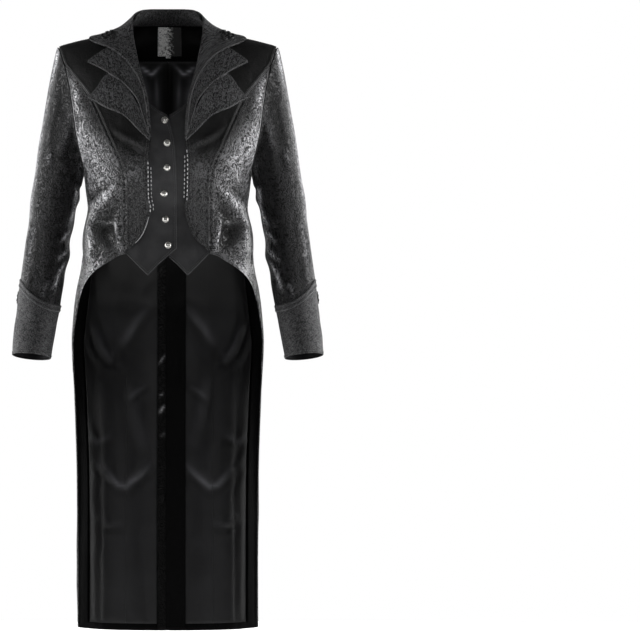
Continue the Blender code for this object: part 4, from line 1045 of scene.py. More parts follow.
collarForm = {
    "rollX": (0.0, 0.024, 0.043, 0.0575, 0.065, 0.0668, 0.066, 0.0645, 0.0625, 0.059, 0.0554, 0.0528, 0.0475,
              0.042, 0.0374, 0.034, 0.0322),
    "rollY": (0.0595, 0.0575, 0.049, 0.0345, 0.015, -0.005, -0.022, -0.04, -0.052, -0.064, -0.076, -0.084,
              -0.095, -0.106, -0.113, -0.123, -0.129),
    "rollZ": (0.039, 0.039, 0.038, 0.0335, 0.026, 0.016, 0.002, -0.013, -0.027, -0.044, -0.06, -0.0725,
              -0.091, -0.112, -0.129, -0.162, -0.199),
    "edgeX": (0.0, 0.031, 0.062, 0.092, 0.12, 0.142, 0.147, 0.13, 0.109, 0.091, 0.079, 0.069, 0.056,
              0.0485, 0.043, 0.0385, 0.036),
    "edgeY": (0.069, 0.0675, 0.062, 0.05, 0.033, 0.01, -0.02, -0.04, -0.051, -0.061, -0.07, -0.08,
              -0.091, -0.102, -0.11, -0.12, -0.129),
    "edgeZ": (0.004, 0.0035, 0.001, -0.004, -0.0095, -0.012, -0.0165, -0.03, -0.039, -0.05, -0.061, -0.073,
              -0.092, -0.112, -0.13, -0.163, -0.199),
    "lift": (0.003, 0.003, 0.003, 0.003, 0.003, 0.003, 0.0045, 0.0066, 0.0078, 0.008, 0.008, 0.0082, 0.008,
             0.008, 0.008, 0.0078, 0.0076),
    "bulge": (0.004, 0.004, 0.003, -0.001, -0.004, -0.005, -0.003, 0.001, 0.003) + (0.004,) * 8,
    "onChest": 7.5, "free": 6.0, "wall": 0.0016, "pitch": 0.0028, "standTurn": 116, "foldRadius": 0.0016,
}
lastRow = len(collarForm["lift"]) - 1
collarAt = rowCurves(collarForm)


def onChest(x, z, out):
    return skin(angleAt(x, z), z, out)


def collarPoint(row, share, out=0.0):
    # share 0 is the roll edge and 1 the outer edge; below 0 the cloth turns over the roll and goes down inside
    roll, edge = (np.stack([collarAt[name + k](row) for k in "XYZ"], -1) for name in ("roll", "edge"))
    lying = np.clip(share, 0, 1)
    free = roll + (edge - roll) * lying[..., None]
    outward = unit(np.stack([free[..., 0], free[..., 1], 0.05 + 0 * row], -1))
    free = free + outward * (collarAt["bulge"](row) * np.sin(math.pi * lying) + out)[..., None]
    chest = onChest(free[..., 0], free[..., 2], collarAt["lift"](row) + out)
    on = smoothstep(row, collarForm["free"], collarForm["onChest"])[..., None]
    point = free + (chest - free) * on
    over = np.clip(-share, 0, 1)
    turn = over * math.pi * 0.9
    inward = unit(np.stack([-outward[..., 0], -outward[..., 1], 0 * row], -1))
    radius = collarForm["foldRadius"]
    point = point + inward * (radius * np.sin(turn))[..., None]
    point[..., 2] -= radius * (1 - np.cos(turn)) * 0.9
    return point


def aboveNeck(points):
    return points * np.array([1, 1, 0]) + np.array([0, 0, 0.1])


def collarPlace(u, v, out):
    # u from the roll, turned over, to the outer edge; v from the right lapel round to the left
    share = np.where(u < 0.08, (u - 0.08) / 0.08, (u - 0.08) / 0.92)
    row = np.abs(2 * v - 1) * lastRow
    return acrossMiddle(collarPoint(row, share, out), v - 0.5)


def collarRelief(points, fromLeft, fromRight, fromTop, fromBottom):
    out = rolledEdge(fromRight, 0.0007, 0.004, 0.0026, 0.0006, 0.0014)
    out = out + ripple(points, 21, 0.045, 0.00035, (1, 1, 1)) * smoothstep(fromLeft, 0.004, 0.02)
    return out * smoothstep(fromLeft, 0.0, 0.008)


collarUs = np.unique(np.round(np.concatenate([
    np.linspace(0, 0.08, 9), np.linspace(0.08, 0.86, 20), np.linspace(0.86, 0.96, 7), np.linspace(0.96, 1, 6)]), 5))
cloths["collar"] = makeCloth(
    "collarCloth", collarUs, evenShares(260), collarPlace, aboveNeck, collarForm["wall"], [lapelBrocade],
    "collar", collarRelief,
)

standForm = {
    "height": (0.0038, 0.012, 0.02, 0.0355), "halfWidth": (0.078, 0.067, 0.0615, 0.059),
    "front": (0.018, 0.015, 0.013, 0.012), "back": (0.061, 0.059, 0.057, 0.054),
    "topAngle": (60, 80, 95, 120, 140, 180), "top": (0.006, 0.01, 0.015, 0.027, 0.033, 0.035),
}
standAt = {key: monotone(standForm["height"], standForm[key]) for key in ("halfWidth", "front", "back")}
standTop = monotone(standForm["topAngle"], standForm["top"])


def standPlace(u, v, out):
    turn = 2 * u - 1
    angle = math.pi - np.abs(turn) * math.radians(collarForm["standTurn"])
    low = standForm["height"][0]
    flare = smoothstep(v, 0.72, 1.0) * smoothstep(np.degrees(angle), 88, 125)
    z = low + (standTop(np.degrees(angle)) - low) * v + 0.003 * flare
    out = out + 0.004 * flare
    power = 2 / bodyForm["squareness"]
    depth = np.where(np.cos(angle) > 0, standAt["front"](z), standAt["back"](z)) + out
    x = (standAt["halfWidth"](z) + out) * np.sin(angle) ** power
    y = -np.sign(np.cos(angle)) * depth * np.abs(np.cos(angle)) ** power
    return np.stack([np.sign(turn) * x, y, z], -1)


makeCloth(
    "collarStandCloth", np.unique(np.concatenate([evenShares(100), [0.494, 0.497, 0.5, 0.503, 0.506]])), evenShares(14),
    standPlace, fromAxis, collarForm["wall"], [brocade], "collar_stand",
    lambda p, a, b, c, d: 0.0007 * hump(p[..., 0], 0.0012) * (p[..., 1] > 0),
)

lapelForm = {
    "second": {
        "lowX": (0.033, 0.039, 0.056, 0.072, 0.085, 0.101, 0.118, 0.137, 0.148),
        "lowZ": (-0.2045, -0.186, -0.134, -0.113, -0.1, -0.09, -0.0785, -0.069, -0.0635),
        "highX": (0.0345, 0.04, 0.056, 0.074, 0.088, 0.103, 0.119, 0.136, 0.1478),
        "highZ": (-0.185, -0.135, -0.078, -0.056, -0.042, -0.034, -0.041, -0.052, -0.061),
    },
    "third": {
        "lowX": (0.034, 0.042, 0.058, 0.072, 0.083, 0.098, 0.114, 0.134, 0.1468),
        "lowZ": (-0.207, -0.2, -0.184, -0.169, -0.16, -0.153, -0.1465, -0.135, -0.129),
        "highX": (0.034, 0.04, 0.056, 0.07, 0.085, 0.102, 0.117, 0.133, 0.1464),
        "highZ": (-0.2, -0.17, -0.14, -0.115, -0.09, -0.074, -0.088, -0.111, -0.1265),
    },
}


def lapelPlace(side, form, layer):
    curves = rowCurves(form)
    last = len(form["lowX"]) - 1

    def place(u, v, out):
        row = last * u
        x = curves["lowX"](row) * (1 - v) + curves["highX"](row) * v
        z = curves["lowZ"](row) * (1 - v) + curves["highZ"](row) * v
        return mirrored(onChest(x, z, collarForm["pitch"] * (layer + 1) + out), side)

    return place


def lapelRelief(points, fromLeft, fromRight, fromTop, fromBottom):
    near = np.minimum(np.minimum(fromTop, fromRight), 0.05)
    out = rolledEdge(near, 0.0007, 0.004, 0.0024, 0.0005, 0.0014)
    return out + ripple(points, 33, 0.04, 0.0003, (1, 1, 1)) * smoothstep(near, 0.004, 0.012)


for side, tag in ((1, "left"), (-1, "right")):
    for name, layer in (("second", 1), ("third", 0)):
        cloths["lapel" + name, tag] = makeCloth(
            f"lapel{name.capitalize()}Cloth.{tag}",
            edgeShares(60, (0.008, 0.018, 0.03)), edgeShares(26, (0.02, 0.045, 0.07, 0.1)),
            lapelPlace(side, lapelForm[name], layer), fromAxis, collarForm["wall"], [lapelBrocade],
            f"lapel_{name}_{tag}", lapelRelief,
        )
print("collar and lapels made")


# waistcoat front and buttons

vestForm = {
    "drop": 0.0027, "plyGap": 0.0011, "underX": 0.002, "notchSlope": 0.9, "sideX": 0.079, "wall": 0.0016,
    "topX": (0.000, 0.018, 0.036, 0.06, 0.08), "topZ": (-0.159, -0.148, -0.134, -0.114, -0.1),
    "hemX": (0.000, 0.018, 0.0372, 0.05, 0.065, 0.08), "hemZ": (-0.4215, -0.437, -0.457, -0.445, -0.43, -0.4145),
    "edgeZ": (-0.158, -0.164, -0.182, -0.2065, -0.231, -0.29), "edgeX": (-0.002, 0.002, 0.0074, 0.0123, 0.0147, 0.0171),
}
vestCreases = (
    (((0.026, -0.306), (0.048, -0.3), (0.074, -0.288)), 0.0009, 0.005),
    (((0.022, -0.352), (0.046, -0.35), (0.072, -0.362)), 0.0009, 0.0045),
    (((0.024, -0.258), (0.044, -0.24), (0.058, -0.214)), 0.0008, 0.006),
)
vestTop = monotone(vestForm["topX"], vestForm["topZ"])
vestEdge = monotone(vestForm["edgeZ"], vestForm["edgeX"])


def vestHem(x):
    # straight sides down to a sharp point
    straight = np.interp(x, vestForm["hemX"], vestForm["hemZ"])
    return np.where(x < 0, vestForm["hemZ"][0] - vestForm["notchSlope"] * x, straight)


def vestPlace(side, inner, base):
    def place(u, v, out):
        x, z = 0 * u, 0 * u
        for _ in range(12):
            top = vestTop(np.abs(x))
            z = top + (vestHem(x) - top) * v
            x = inner(z) + (vestForm["sideX"] - inner(z)) * u
        return acrossMiddle(onChest(np.abs(x), z, out + base), x, side)

    return place


def vestRelief(seed):
    def relief(points, fromLeft, fromRight, fromTop, fromBottom):
        near = np.minimum(np.minimum(fromTop, fromBottom), fromLeft)
        out = rolledEdge(near, 0.0004, 0.0032, 0.0022, 0.0004, 0.0012)
        soft = ripple(points, seed, 0.06, 0.0003) + bodyCreases(points, vestCreases)
        return out + soft * smoothstep(near, 0.004, 0.015)

    return relief


vestUs = np.unique(np.round(np.concatenate([evenShares(30), [0.008, 0.02, 0.05, 0.51, 0.525]]), 5))
for side, tag, inner, base in (
    (-1, "right", lambda z: -vestEdge(z), -vestForm["drop"]),
    (1, "left", lambda z: vestForm["underX"] + 0 * z, -vestForm["drop"] - vestForm["wall"] - vestForm["plyGap"]),
):
    cloths["vest", tag] = makeCloth(
        f"waistcoatCloth.{tag}", vestUs, edgeShares(74, (0.004, 0.009, 0.015, 0.022)),
        vestPlace(side, inner, base), fromAxis, vestForm["wall"], [twill, liningSatin],
        f"waistcoat_{tag}", vestRelief(70 + side),
    )

buttonForm = {
    "x": (-0.006, -0.0013, -0.0013, -0.007, -0.0043, 0.0002),
    "z": (-0.1685, -0.2113, -0.2574, -0.3062, -0.3528, -0.4006),
    "radius": 0.0062, "height": 0.0044, "rim": 0.0009, "turns": 40,
}


def makeButton(number, x, z):
    seat = onChest(np.array(abs(x)), np.array(z), 0.0004 - vestForm["drop"])
    further = onChest(np.array(abs(x)), np.array(z), 0.0104 - vestForm["drop"])
    r, h, rim = buttonForm["radius"], buttonForm["height"], buttonForm["rim"]
    profile = [(0, 0), (r * 0.9, 0), (r, rim * 0.3), (r, rim * 0.8), (r * 0.96, rim), (r * 0.9, rim * 0.8)]
    turns = np.linspace(0.08, math.pi / 2, 12)
    profile += [(r * 0.88 * math.cos(t), rim * 0.8 + (h - rim) * math.sin(t)) for t in turns]
    profile[-1] = (0, profile[-1][1])
    dome = bmesh.new()
    verts = [dome.verts.new((a, 0, b)) for a, b in profile]
    edges = [dome.edges.new(pair) for pair in zip(verts, verts[1:])]
    bmesh.ops.spin(dome, geom=verts + edges, cent=(0, 0, 0), axis=(0, 0, 1), angle=2 * math.pi,
                   steps=buttonForm["turns"], use_merge=True)
    bmesh.ops.remove_doubles(dome, verts=dome.verts, dist=0.00001)
    bmesh.ops.recalc_face_normals(dome, faces=dome.faces)
    turn = Vector(further - seat).to_track_quat("Z", "Y").to_matrix()
    bmesh.ops.rotate(dome, verts=dome.verts, cent=(0, 0, 0), matrix=turn)
    bmesh.ops.translate(dome, verts=dome.verts, vec=(x, seat[1], seat[2]))
    thing = pieceFrom(f"domedButton.{number}", dome)
    thing.data.set_sharp_from_angle(angle=math.radians(50))
    return rideAs(thing, silverDome, [f"button_{number}"])


for number, (x, z) in enumerate(zip(buttonForm["x"], buttonForm["z"]), 1):
    makeButton(number, x, z)
print("waistcoat made")


# sleeves and cuffs

sleeveForm = {
    "outerX": (0.2035, 0.2115, 0.22, 0.229, 0.238, 0.247, 0.255, 0.2625, 0.2695, 0.2765, 0.282, 0.287, 0.289),
    "outerZ": (-0.034, -0.052, -0.095, -0.15, -0.205, -0.268, -0.325, -0.38, -0.435, -0.485, -0.53, -0.57, -0.604),
    "innerX": (0.1555, 0.1565, 0.1585, 0.1615, 0.165, 0.1695, 0.1755, 0.1815, 0.1885, 0.1955, 0.2035, 0.2105, 0.217),
    "innerZ": (-0.272, -0.277, -0.284, -0.295, -0.311, -0.337, -0.37, -0.408, -0.45, -0.493, -0.535, -0.574, -0.611),
    "halfDepth": (0.06, 0.062, 0.062, 0.06, 0.058, 0.056, 0.054, 0.052, 0.049, 0.047, 0.045, 0.043, 0.041),
    "centreY": (0.004, 0.004, 0.004, 0.004, 0.005, 0.006, 0.006, 0.004, -0.001, -0.008, -0.016, -0.025, -0.033),
    "gap": 0.0018, "headRows": 3.0, "rimTilt": 0.006, "seamTrim": 0.0075,
    "cuffStart": 8.7, "cuffDiagonal": 0.9, "frontDip": 0.28, "bandRows": 0.3, "wall": 0.0016, "ply": 0.0003,
    "bandWall": 0.0009, "rowLength": 0.05, "radius": 0.046,
}
sleeveAt = rowCurves(sleeveForm)
broadCreases = (
    (3.2, 215, -0.006, 0.45, 38), (4.1, 205, 0.004, 0.45, 40), (5.0, 215, -0.0045, 0.45, 40),
    (6.6, 150, -0.004, 0.4, 42), (7.3, 160, 0.003, 0.35, 40), (8.0, 150, -0.0035, 0.4, 42), (5.8, 350, 0.0025, 0.5, 40),
)
# fine creases of the sleeve: points are (row, degrees round the sleeve)
sleeveCreases = (
    (((0.5, 62), (1.6, 66), (2.8, 64), (4.2, 58)), -0.003, 0.0055, -0.7),
    (((0.35, 84), (1.4, 92), (2.6, 92), (3.6, 84)), 0.0022, 0.006),
    (((0.4, 40), (1.3, 36), (2.4, 40)), 0.002, 0.006),
    (((3.7, 66), (4.2, 60), (4.5, 52)), 0.003, 0.006),
    (((5.2, 158), (5.6, 132), (6.2, 110)), 0.0028, 0.007),
    (((6.1, 160), (6.6, 130), (7.0, 104)), 0.003, 0.006),
    (((6.9, 158), (7.4, 132), (7.7, 112)), 0.0026, 0.006),
    (((7.7, 150), (8.2, 124), (8.9, 112)), 0.0028, 0.007),
    (((8.4, 100), (8.9, 92), (9.3, 96)), 0.002, 0.006),
    (((8.2, 60), (8.8, 50), (9.2, 40)), 0.0018, 0.007),
    (((6.4, 30), (7.2, 22), (8.2, 28)), 0.0016, 0.009),
    (((2.3, -132), (2.45, -112), (2.8, -104), (3.0, -118)), 0.0048, 0.005, 0.9),
    (((2.75, -140), (3.1, -128), (3.25, -112)), 0.0046, 0.005, 0.9),
    (((3.2, -150), (3.6, -132), (4.0, -118)), 0.004, 0.006, 0.8),
    (((1.2, -70), (2.2, -78), (3.2, -84)), 0.0024, 0.007),
    (((0.6, -50), (1.6, -52), (2.8, -46)), 0.002, 0.007),
    (((5.2, -130), (5.9, -112), (6.8, -96)), 0.0024, 0.008),
    (((6.6, -140), (7.4, -120), (8.0, -104)), 0.0026, 0.008),
    (((7.8, -132), (8.4, -112), (8.9, -96)), 0.0022, 0.007),
)


# painted light of the sleeve, in the same places: painted bright rims, a painted dark middle and painted glints on the
# inner edge
sleevePaintedLight = (
    (((0.1, 6), (0.7, 15), (1.5, 23), (2.3, 22)), 1.3, 0.0085),
    (((2.4, 170), (4.0, 163), (6.0, 158), (9.2, 150)), 1.35, 0.0075),
    (((0.2, 10), (2.0, 14), (5.0, 12), (9.0, 14)), 1.35, 0.0125),
    (((0.2, -14), (3.0, -16), (6.0, -14), (9.0, -14)), 1.0, 0.014),
    (((0.5, 62), (1.6, 66), (2.8, 64), (4.2, 58)), -0.9, 0.006),
    (((0.3, 84), (1.4, 92), (2.6, 92), (3.6, 84)), 0.55, 0.0055, 0.4),
    (((3.6, 66), (4.15, 60), (4.4, 52)), 1.1, 0.005),
    (((0.8, 150), (1.8, 142), (3.0, 146)), 0.9, 0.007),
    (((3.2, 152), (4.2, 148), (5.0, 150)), 1.9, 0.0085),
    (((4.8, 152), (5.6, 146), (6.2, 138)), 1.7, 0.0075, 0.3),
    (((6.1, 152), (6.6, 138), (7.0, 118)), 1.5, 0.0065, 0.5),
    (((6.9, 150), (7.4, 134), (7.7, 116)), 1.5, 0.0065, 0.5),
    (((7.5, 152), (8.2, 136), (9.0, 124)), 1.7, 0.0085, 0.3),
    (((8.5, 108), (8.9, 96), (9.3, 98)), 0.9, 0.005),
    (((6.2, 46), (7.4, 40), (8.6, 44)), 0.75, 0.008, 0.5),
    (((2.3, -132), (2.45, -112), (2.8, -104), (3.0, -118)), 1.3, 0.0048, 0.8),
    (((2.75, -140), (3.1, -128), (3.25, -112)), 1.2, 0.0048, 0.8),
    (((3.2, -150), (3.6, -132), (4.0, -118)), 1.1, 0.0055, 0.8),
    (((0.5, -60), (1.6, -62), (3.0, -56)), 0.7, 0.006, 0.5),
    (((5.2, -130), (5.9, -112), (6.8, -96)), 0.8, 0.007, 0.5),
    (((6.6, -140), (7.4, -120), (8.0, -104)), 0.8, 0.007, 0.5),
)


def scaledCreases(creases, a, b):
    return [([(p * a, math.radians(q) * b) for p, q in line], *others) for line, *others in creases]


fineSleeve = scaledCreases(sleeveCreases, sleeveForm["rowLength"], sleeveForm["radius"])
sleevePaintedLightScaled = scaledCreases(sleevePaintedLight, sleeveForm["rowLength"], sleeveForm["radius"])


def armholePoint(turn):
    top, low = bodyForm["shoulder"], bodyForm["armpit"]
    z = (top + low) / 2 + (top - low) / 2 * np.cos(turn)
    angle = np.where(np.sin(turn) < -1e-9, armholeAngle(z, True), armholeAngle(z))
    angle = np.where(np.abs(np.sin(turn)) < 1e-6, math.pi / 2, angle)
    return skin(angle, z) + np.array([sleeveForm["gap"], 0, 0])


def sleevePoint(row, turn, out=0.0):
    # turn 0 is the outer side, a quarter turn the front, half a turn the inner side
    outer = np.stack([sleeveAt["outerX"](row), 0 * row, sleeveAt["outerZ"](row)], -1)
    inner = np.stack([sleeveAt["innerX"](row), 0 * row, sleeveAt["innerZ"](row)], -1)
    centre, across = (outer + inner) / 2, (outer - inner) / 2
    degrees = np.degrees(turn)
    for at, angle, depth, rows, wide in broadCreases:
        away = (degrees - angle + 180) % 360 - 180
        out = out + depth * hump(row - at, rows) * hump(away, wide)
    out = out + 0.0022 * hump(row - 0.75, 0.6) * np.maximum(np.cos(turn), 0) ** 2
    length = np.linalg.norm(across, axis=-1, keepdims=True)
    across = across + across / length * (out + 0 * row)[..., None]
    point = centre + across * np.cos(turn)[..., None]
    point[..., 1] = sleeveAt["centreY"](row) - (sleeveAt["halfDepth"](row) + out) * np.sin(turn)
    point[..., 2] += sleeveForm["rimTilt"] * np.sin(turn) * smoothstep(row, 8, 12)
    head = smoothstep(row, 0, sleeveForm["headRows"])[..., None]
    return np.where(row[..., None] < sleeveForm["headRows"], armholePoint(turn) * (1 - head) + point * head, point)


def armAxis(row):
    middle = [(sleeveAt["outer" + k](row) + sleeveAt["inner" + k](row)) / 2 for k in "XZ"]
    return np.stack([middle[0], sleeveAt["centreY"](row), middle[1]], -1)


def fromArm(side):
    axis = mirrored(armAxis(np.linspace(0, 12, 25)), side)

    def outward(points):
        flat = points.reshape(-1, 3)
        nearest = np.linalg.norm(flat[:, None] - axis[None], axis=-1).argmin(1)
        return (flat - axis[nearest]).reshape(points.shape)

    return outward


def cuffTop(turn):
    dip = sleeveForm["frontDip"] * np.maximum(np.sin(turn), 0) ** 2
    return sleeveForm["cuffStart"] + sleeveForm["cuffDiagonal"] * (1 - np.cos(turn)) / 2 + dip


def roundArm(row, turn, creases, usual=0.5):
    # the creases close round the arm, so each counts a lap further too
    a, b, lap = row * sleeveForm["rowLength"], turn * sleeveForm["radius"], 2 * math.pi * sleeveForm["radius"]
    return creaseDepth(a, b, creases, usual) + creaseDepth(a, b - lap, creases, usual)


def sleevePlace(side, first, last):
    trim = sleeveForm["seamTrim"]

    def place(u, v, out):
        turn = first + trim + (last - first - 2 * trim) * u
        row = cuffTop(turn) * v
        # the inner outline stays smooth
        fine = roundArm(row, turn, fineSleeve) * (1 - 0.7 * hump(np.degrees(turn) - 165, 22))
        fine = fine * smoothstep(u * (last - first) * sleeveForm["radius"], 0, 0.01)
        fine = fine * smoothstep((1 - u) * (last - first) * sleeveForm["radius"], 0, 0.01)
        fine = fine * (1 - smoothstep(v, 0.965, 1.0)) * smoothstep(v, 0.0, 0.03)
        return mirrored(sleevePoint(row, turn, out + fine), side)

    return place


def sleevePaintedLightOf(first, last):
    # the sleeve's painted highlight and shade at each point, capped
    def tone(points, u, v):
        turn = first + (last - first) * u
        return np.minimum(roundArm(cuffTop(turn) * v, turn, sleevePaintedLightScaled, 0), 1.9)

    return tone


def sleeveRelief(seed):
    def relief(points, fromLeft, fromRight, fromTop, fromBottom):
        out = ripple(points, seed, 0.07, 0.0006) + ripple(points, seed + 1, 0.026, 0.0002)
        near = np.minimum(fromLeft, fromRight)
        gathers = np.sin(fromLeft * 2 * math.pi / 0.0165 + 1.3 * np.sin(fromLeft * 60))
        out = out + 0.0007 * gathers * hump(fromTop - 0.01, 0.014) * smoothstep(fromTop, 0.001, 0.006)
        out = out * smoothstep(near, 0, 0.01) * smoothstep(fromBottom, 0, 0.01)
        return welt(out, near)

    return relief


step = math.pi / 12
sleeveVs = np.unique(np.round(np.concatenate([np.linspace(0, 0.06, 10), np.linspace(0.06, 1, 118)]), 5))
for side, tag, seed in ((1, "left", 91), (-1, "right", 95)):
    arm = fromArm(side)
    for name, us, first, last, ahead in (
        ("top", edgeShares(64, (0.004, 0.01, 0.018)), -8 * step, 9 * step, 0),
        ("under", edgeShares(30, (0.008, 0.02, 0.035)), 9 * step, 16 * step, 2),
    ):
        makeCloth(
            f"{name}SleeveCloth.{tag}", us, sleeveVs, sleevePlace(side, first, last), arm, sleeveForm["wall"],
            [sleeveSatinShaded, liningSatin], f"{name}_sleeve_{tag}", sleeveRelief(seed + ahead),
            tone=sleevePaintedLightOf(first, last),
        )

    def cuffPlace(u, v, out, side=side):
        turn = 2 * math.pi * u
        top = cuffTop(turn) + 0.01
        return mirrored(sleevePoint(top + (12 - top) * v, turn, out), side)

    def bandPlace(u, v, out, side=side):
        turn = 2 * math.pi * u
        row = cuffTop(turn) + sleeveForm["bandRows"] * (v - 0.5)
        return mirrored(sleevePoint(row, turn, out + sleeveForm["bandWall"] + sleeveForm["ply"]), side)

    def cuffRelief(points, a, b, c, d):
        soft = ripple(points, 14, 0.05, 0.00035, (1, 1, 1)) * smoothstep(d, 0, 0.01)
        return soft + 0.0006 * hump(d - 0.0035, 0.0024)

    def bandRelief(points, a, b, c, d):
        return rolledEdge(np.minimum(c, d), 0.0006, 0.003, 0.0022, 0.0003, 0.001)

    cloths["cuff", tag] = makeCloth(
        f"cuffCloth.{tag}", evenShares(96), edgeShares(40, (0.02, 0.04, 0.06)), cuffPlace, arm, sleeveForm["wall"],
        [brocade, liningSatin], f"cuff_{tag}", cuffRelief, closed=True,
    )
    cloths["band", tag] = makeCloth(
        f"cuffBandCloth.{tag}", evenShares(96), edgeShares(8, (0.06, 0.14, 0.24)), bandPlace, arm,
        sleeveForm["bandWall"], [brocade], f"cuff_band_{tag}", bandRelief, closed=True,
    )
print("sleeves made")


# straps, buckles and eyelets on the back waist

strapForm = {
    "levels": ("upper", "lower"), "buckleZ": (-0.3516, -0.402), "leftX": (0.076, 0.07), "leftZ": (-0.345, -0.387),
    "rightX": (0.07, 0.069), "rightZ": (-0.3395, -0.3937), "half": 0.01, "wall": 0.0022, "ease": 0.0009, "ply": 0.0005,
    "buckleX": 0.0019, "buckleHalf": (0.0188, 0.014), "plateEdge": 0.0042, "notch": 0.0143, "bar": 0.0028,
    "buckleWall": 0.0024, "underPlate": 0.004, "eyeletX": (0.009, -0.005, -0.0223), "eyeletRadius": 0.0038,
    "eyeletHole": 0.002, "eyeletWall": 0.0007,
}
strapOut = strapForm["ease"] + strapForm["wall"]
buckleOut = strapOut + strapForm["ply"] + strapForm["buckleWall"]


def strapPlace(fromX, fromZ, toX, toZ):
    def place(u, v, out):
        x = fromX + (toX - fromX) * u
        z = fromZ + (toZ - fromZ) * u + strapForm["half"] * (1 - 2 * v)
        return onBack(x, z, strapOut + out)

    return place


def strapRelief(points, a, b, c, d):
    return rolledEdge(np.minimum(c, d), 0.0004, 0.003, 0.0016, 0.0003, 0.001) + ripple(points, 61, 0.03, 0.0002)


def roundedLoop(half, corner, bow, count):
    # a rectangle with round corners whose -X side bows out
    w, h = half
    shape = []
    for k in range(count):
        t = 2 * math.pi * (k + 0.5) / count
        c, s = math.cos(t), math.sin(t)
        x = math.copysign(abs(c) ** corner, c) * w
        z = math.copysign(abs(s) ** corner, s) * h
        if x < 0:
            x -= bow * (1 - (z / h) ** 2)
        shape.append((x, z))
    return np.array(shape)


def notchedLoop(half, corner, bow, edge, notch, count):
    # the frame's opening: its +X side has a notch that points towards the plate
    shape = roundedLoop(half, corner, bow, count)
    h = half[1]
    plate = edge + (notch - edge) * np.clip(1 - np.abs(shape[:, 1]) / (0.62 * h), 0, 1)
    shape[:, 0] = np.where(shape[:, 0] > 0, np.minimum(shape[:, 0] * 1.6, plate), shape[:, 0])
    return shape


def metalRing(name, centreX, centreZ, outline, opening, base, wall, crown, material, node):
    columns, rows = len(outline), 8
    column, v = np.meshgrid(np.arange(columns + 1) % columns, np.linspace(0, 1, rows + 1))
    spots = outline[column] * (1 - v)[..., None] + opening[column] * v[..., None]
    points = onBack(centreX + spots[..., 0], centreZ + spots[..., 1], base + crown * np.sin(math.pi * v) ** 0.6)
    ring = bmesh.new()
    bmesh.ops.create_grid(ring, x_segments=columns, y_segments=rows, size=0.5)
    for vert in ring.verts:
        spot = round((vert.co.y + 0.5) * rows), round((vert.co.x + 0.5) * columns) % columns
        vert.co = points[spot]
    bmesh.ops.remove_doubles(ring, verts=ring.verts, dist=0.00001)
    ring.normal_update()
    if sum(f.normal.y * f.calc_area() for f in ring.faces) < 0:
        bmesh.ops.reverse_faces(ring, faces=ring.faces)
    thing = pieceFrom(name, ring)
    thicken(thing, wall, wall * 0.25, 3, 50)
    return rideAs(thing, material, [node])


for number, level in enumerate(strapForm["levels"]):
    z, (w, h), bar = strapForm["buckleZ"][number], strapForm["buckleHalf"], strapForm["bar"]
    plateX = strapForm["buckleX"] + w - strapForm["underPlate"]
    for tag, fromX, fromZ, toX in (
        ("left", strapForm["leftX"][number], strapForm["leftZ"][number], plateX + strapForm["ply"]),
        ("right", -strapForm["rightX"][number], strapForm["rightZ"][number], plateX),
    ):
        cloths["strap", tag, level] = makeCloth(
            f"strapCloth.{tag}.{level}", evenShares(34), edgeShares(12, (0.03, 0.07, 0.12, 0.17)),
            strapPlace(fromX, fromZ, toX, z), fromAxis, strapForm["wall"], [backSatinShaded],
            f"strap_{tag}_{level}", strapRelief,
        )
    metalRing(
        f"buckleFrame.{level}", strapForm["buckleX"], z, roundedLoop((w, h), 0.34, 0.001, 96),
        notchedLoop((w - bar, h - bar), 0.3, 0.001, strapForm["plateEdge"], strapForm["notch"], 96),
        buckleOut - 0.0004, strapForm["buckleWall"] - 0.0004, 0.0006, silverFrame, f"buckle_{level}",
    )
    for k, x in enumerate(strapForm["eyeletX"], 1):
        outer, hole = strapForm["eyeletRadius"], strapForm["eyeletHole"]
        metalRing(
            f"eyeletRing.{level}.{k}", x, z, roundedLoop((outer, outer), 1, 0, 40), roundedLoop((hole, hole), 1, 0, 40),
            strapOut + strapForm["ply"] + strapForm["eyeletWall"] - 0.0002, strapForm["eyeletWall"], 0.0005, silverDome,
            f"eyelet_{level}_{k}",
        )
print("straps and buckles made")


# braid ornaments on the collar and cuffs

curlForm = {
    "collarRow": 6.05, "collarShare": 0.6, "rowLength": 0.02, "fall": 0.085, "collarOut": 0.0018, "collarSize": 0.018,
    "cuffRow": 9.26, "cuffDegrees": -16, "cuffRowLength": 0.045, "cuffRadius": 0.045,
    "cuffOut": 0.002, "cuffSize": 0.0105, "radius": 0.00085,
}


def ornamentLines():
    # flat shapes about 2 across: a spiral rose, leaves round it and two tendrils
    lines = []
    t = np.linspace(0, 1, 44)
    reach = 0.46 * (1 - 0.86 * t)
    lines.append(np.stack([reach * np.cos(t * 4.2 * math.pi), reach * np.sin(t * 4.2 * math.pi)], 1))
    s = np.linspace(0, 1, 20)
    for turn, size in ((0.3, 0.56), (1.15, 0.46), (2.2, 0.52), (3.1, 0.58), (4.1, 0.44), (5.2, 0.52)):
        length, width = size * np.sin(math.pi * s), 0.17 * np.sin(2 * math.pi * s)
        ax, ay = math.cos(turn), math.sin(turn)
        lines.append(np.stack([(0.42 + length) * ax - width * ay, (0.42 + length) * ay + width * ax], 1))
    for flip in (1, -1):
        t = np.linspace(0, 1, 30)
        curl = 0.3 * (1 - 0.75 * t)
        x = flip * (0.62 + 0.42 * np.minimum(t * 2, 1)) + flip * curl * np.sin(t * 3 * math.pi) * 0.5
        y = -0.55 + 0.5 * t + curl * np.cos(t * 3 * math.pi) * 0.5
        lines.append(np.stack([x, y], 1))
    return lines


def surfaceNormal(function, row, share, step=0.04):
    along = function(row + step, share) - function(row - step, share)
    across = function(row, share + step) - function(row, share - step)
    return unit(np.cross(across, along))


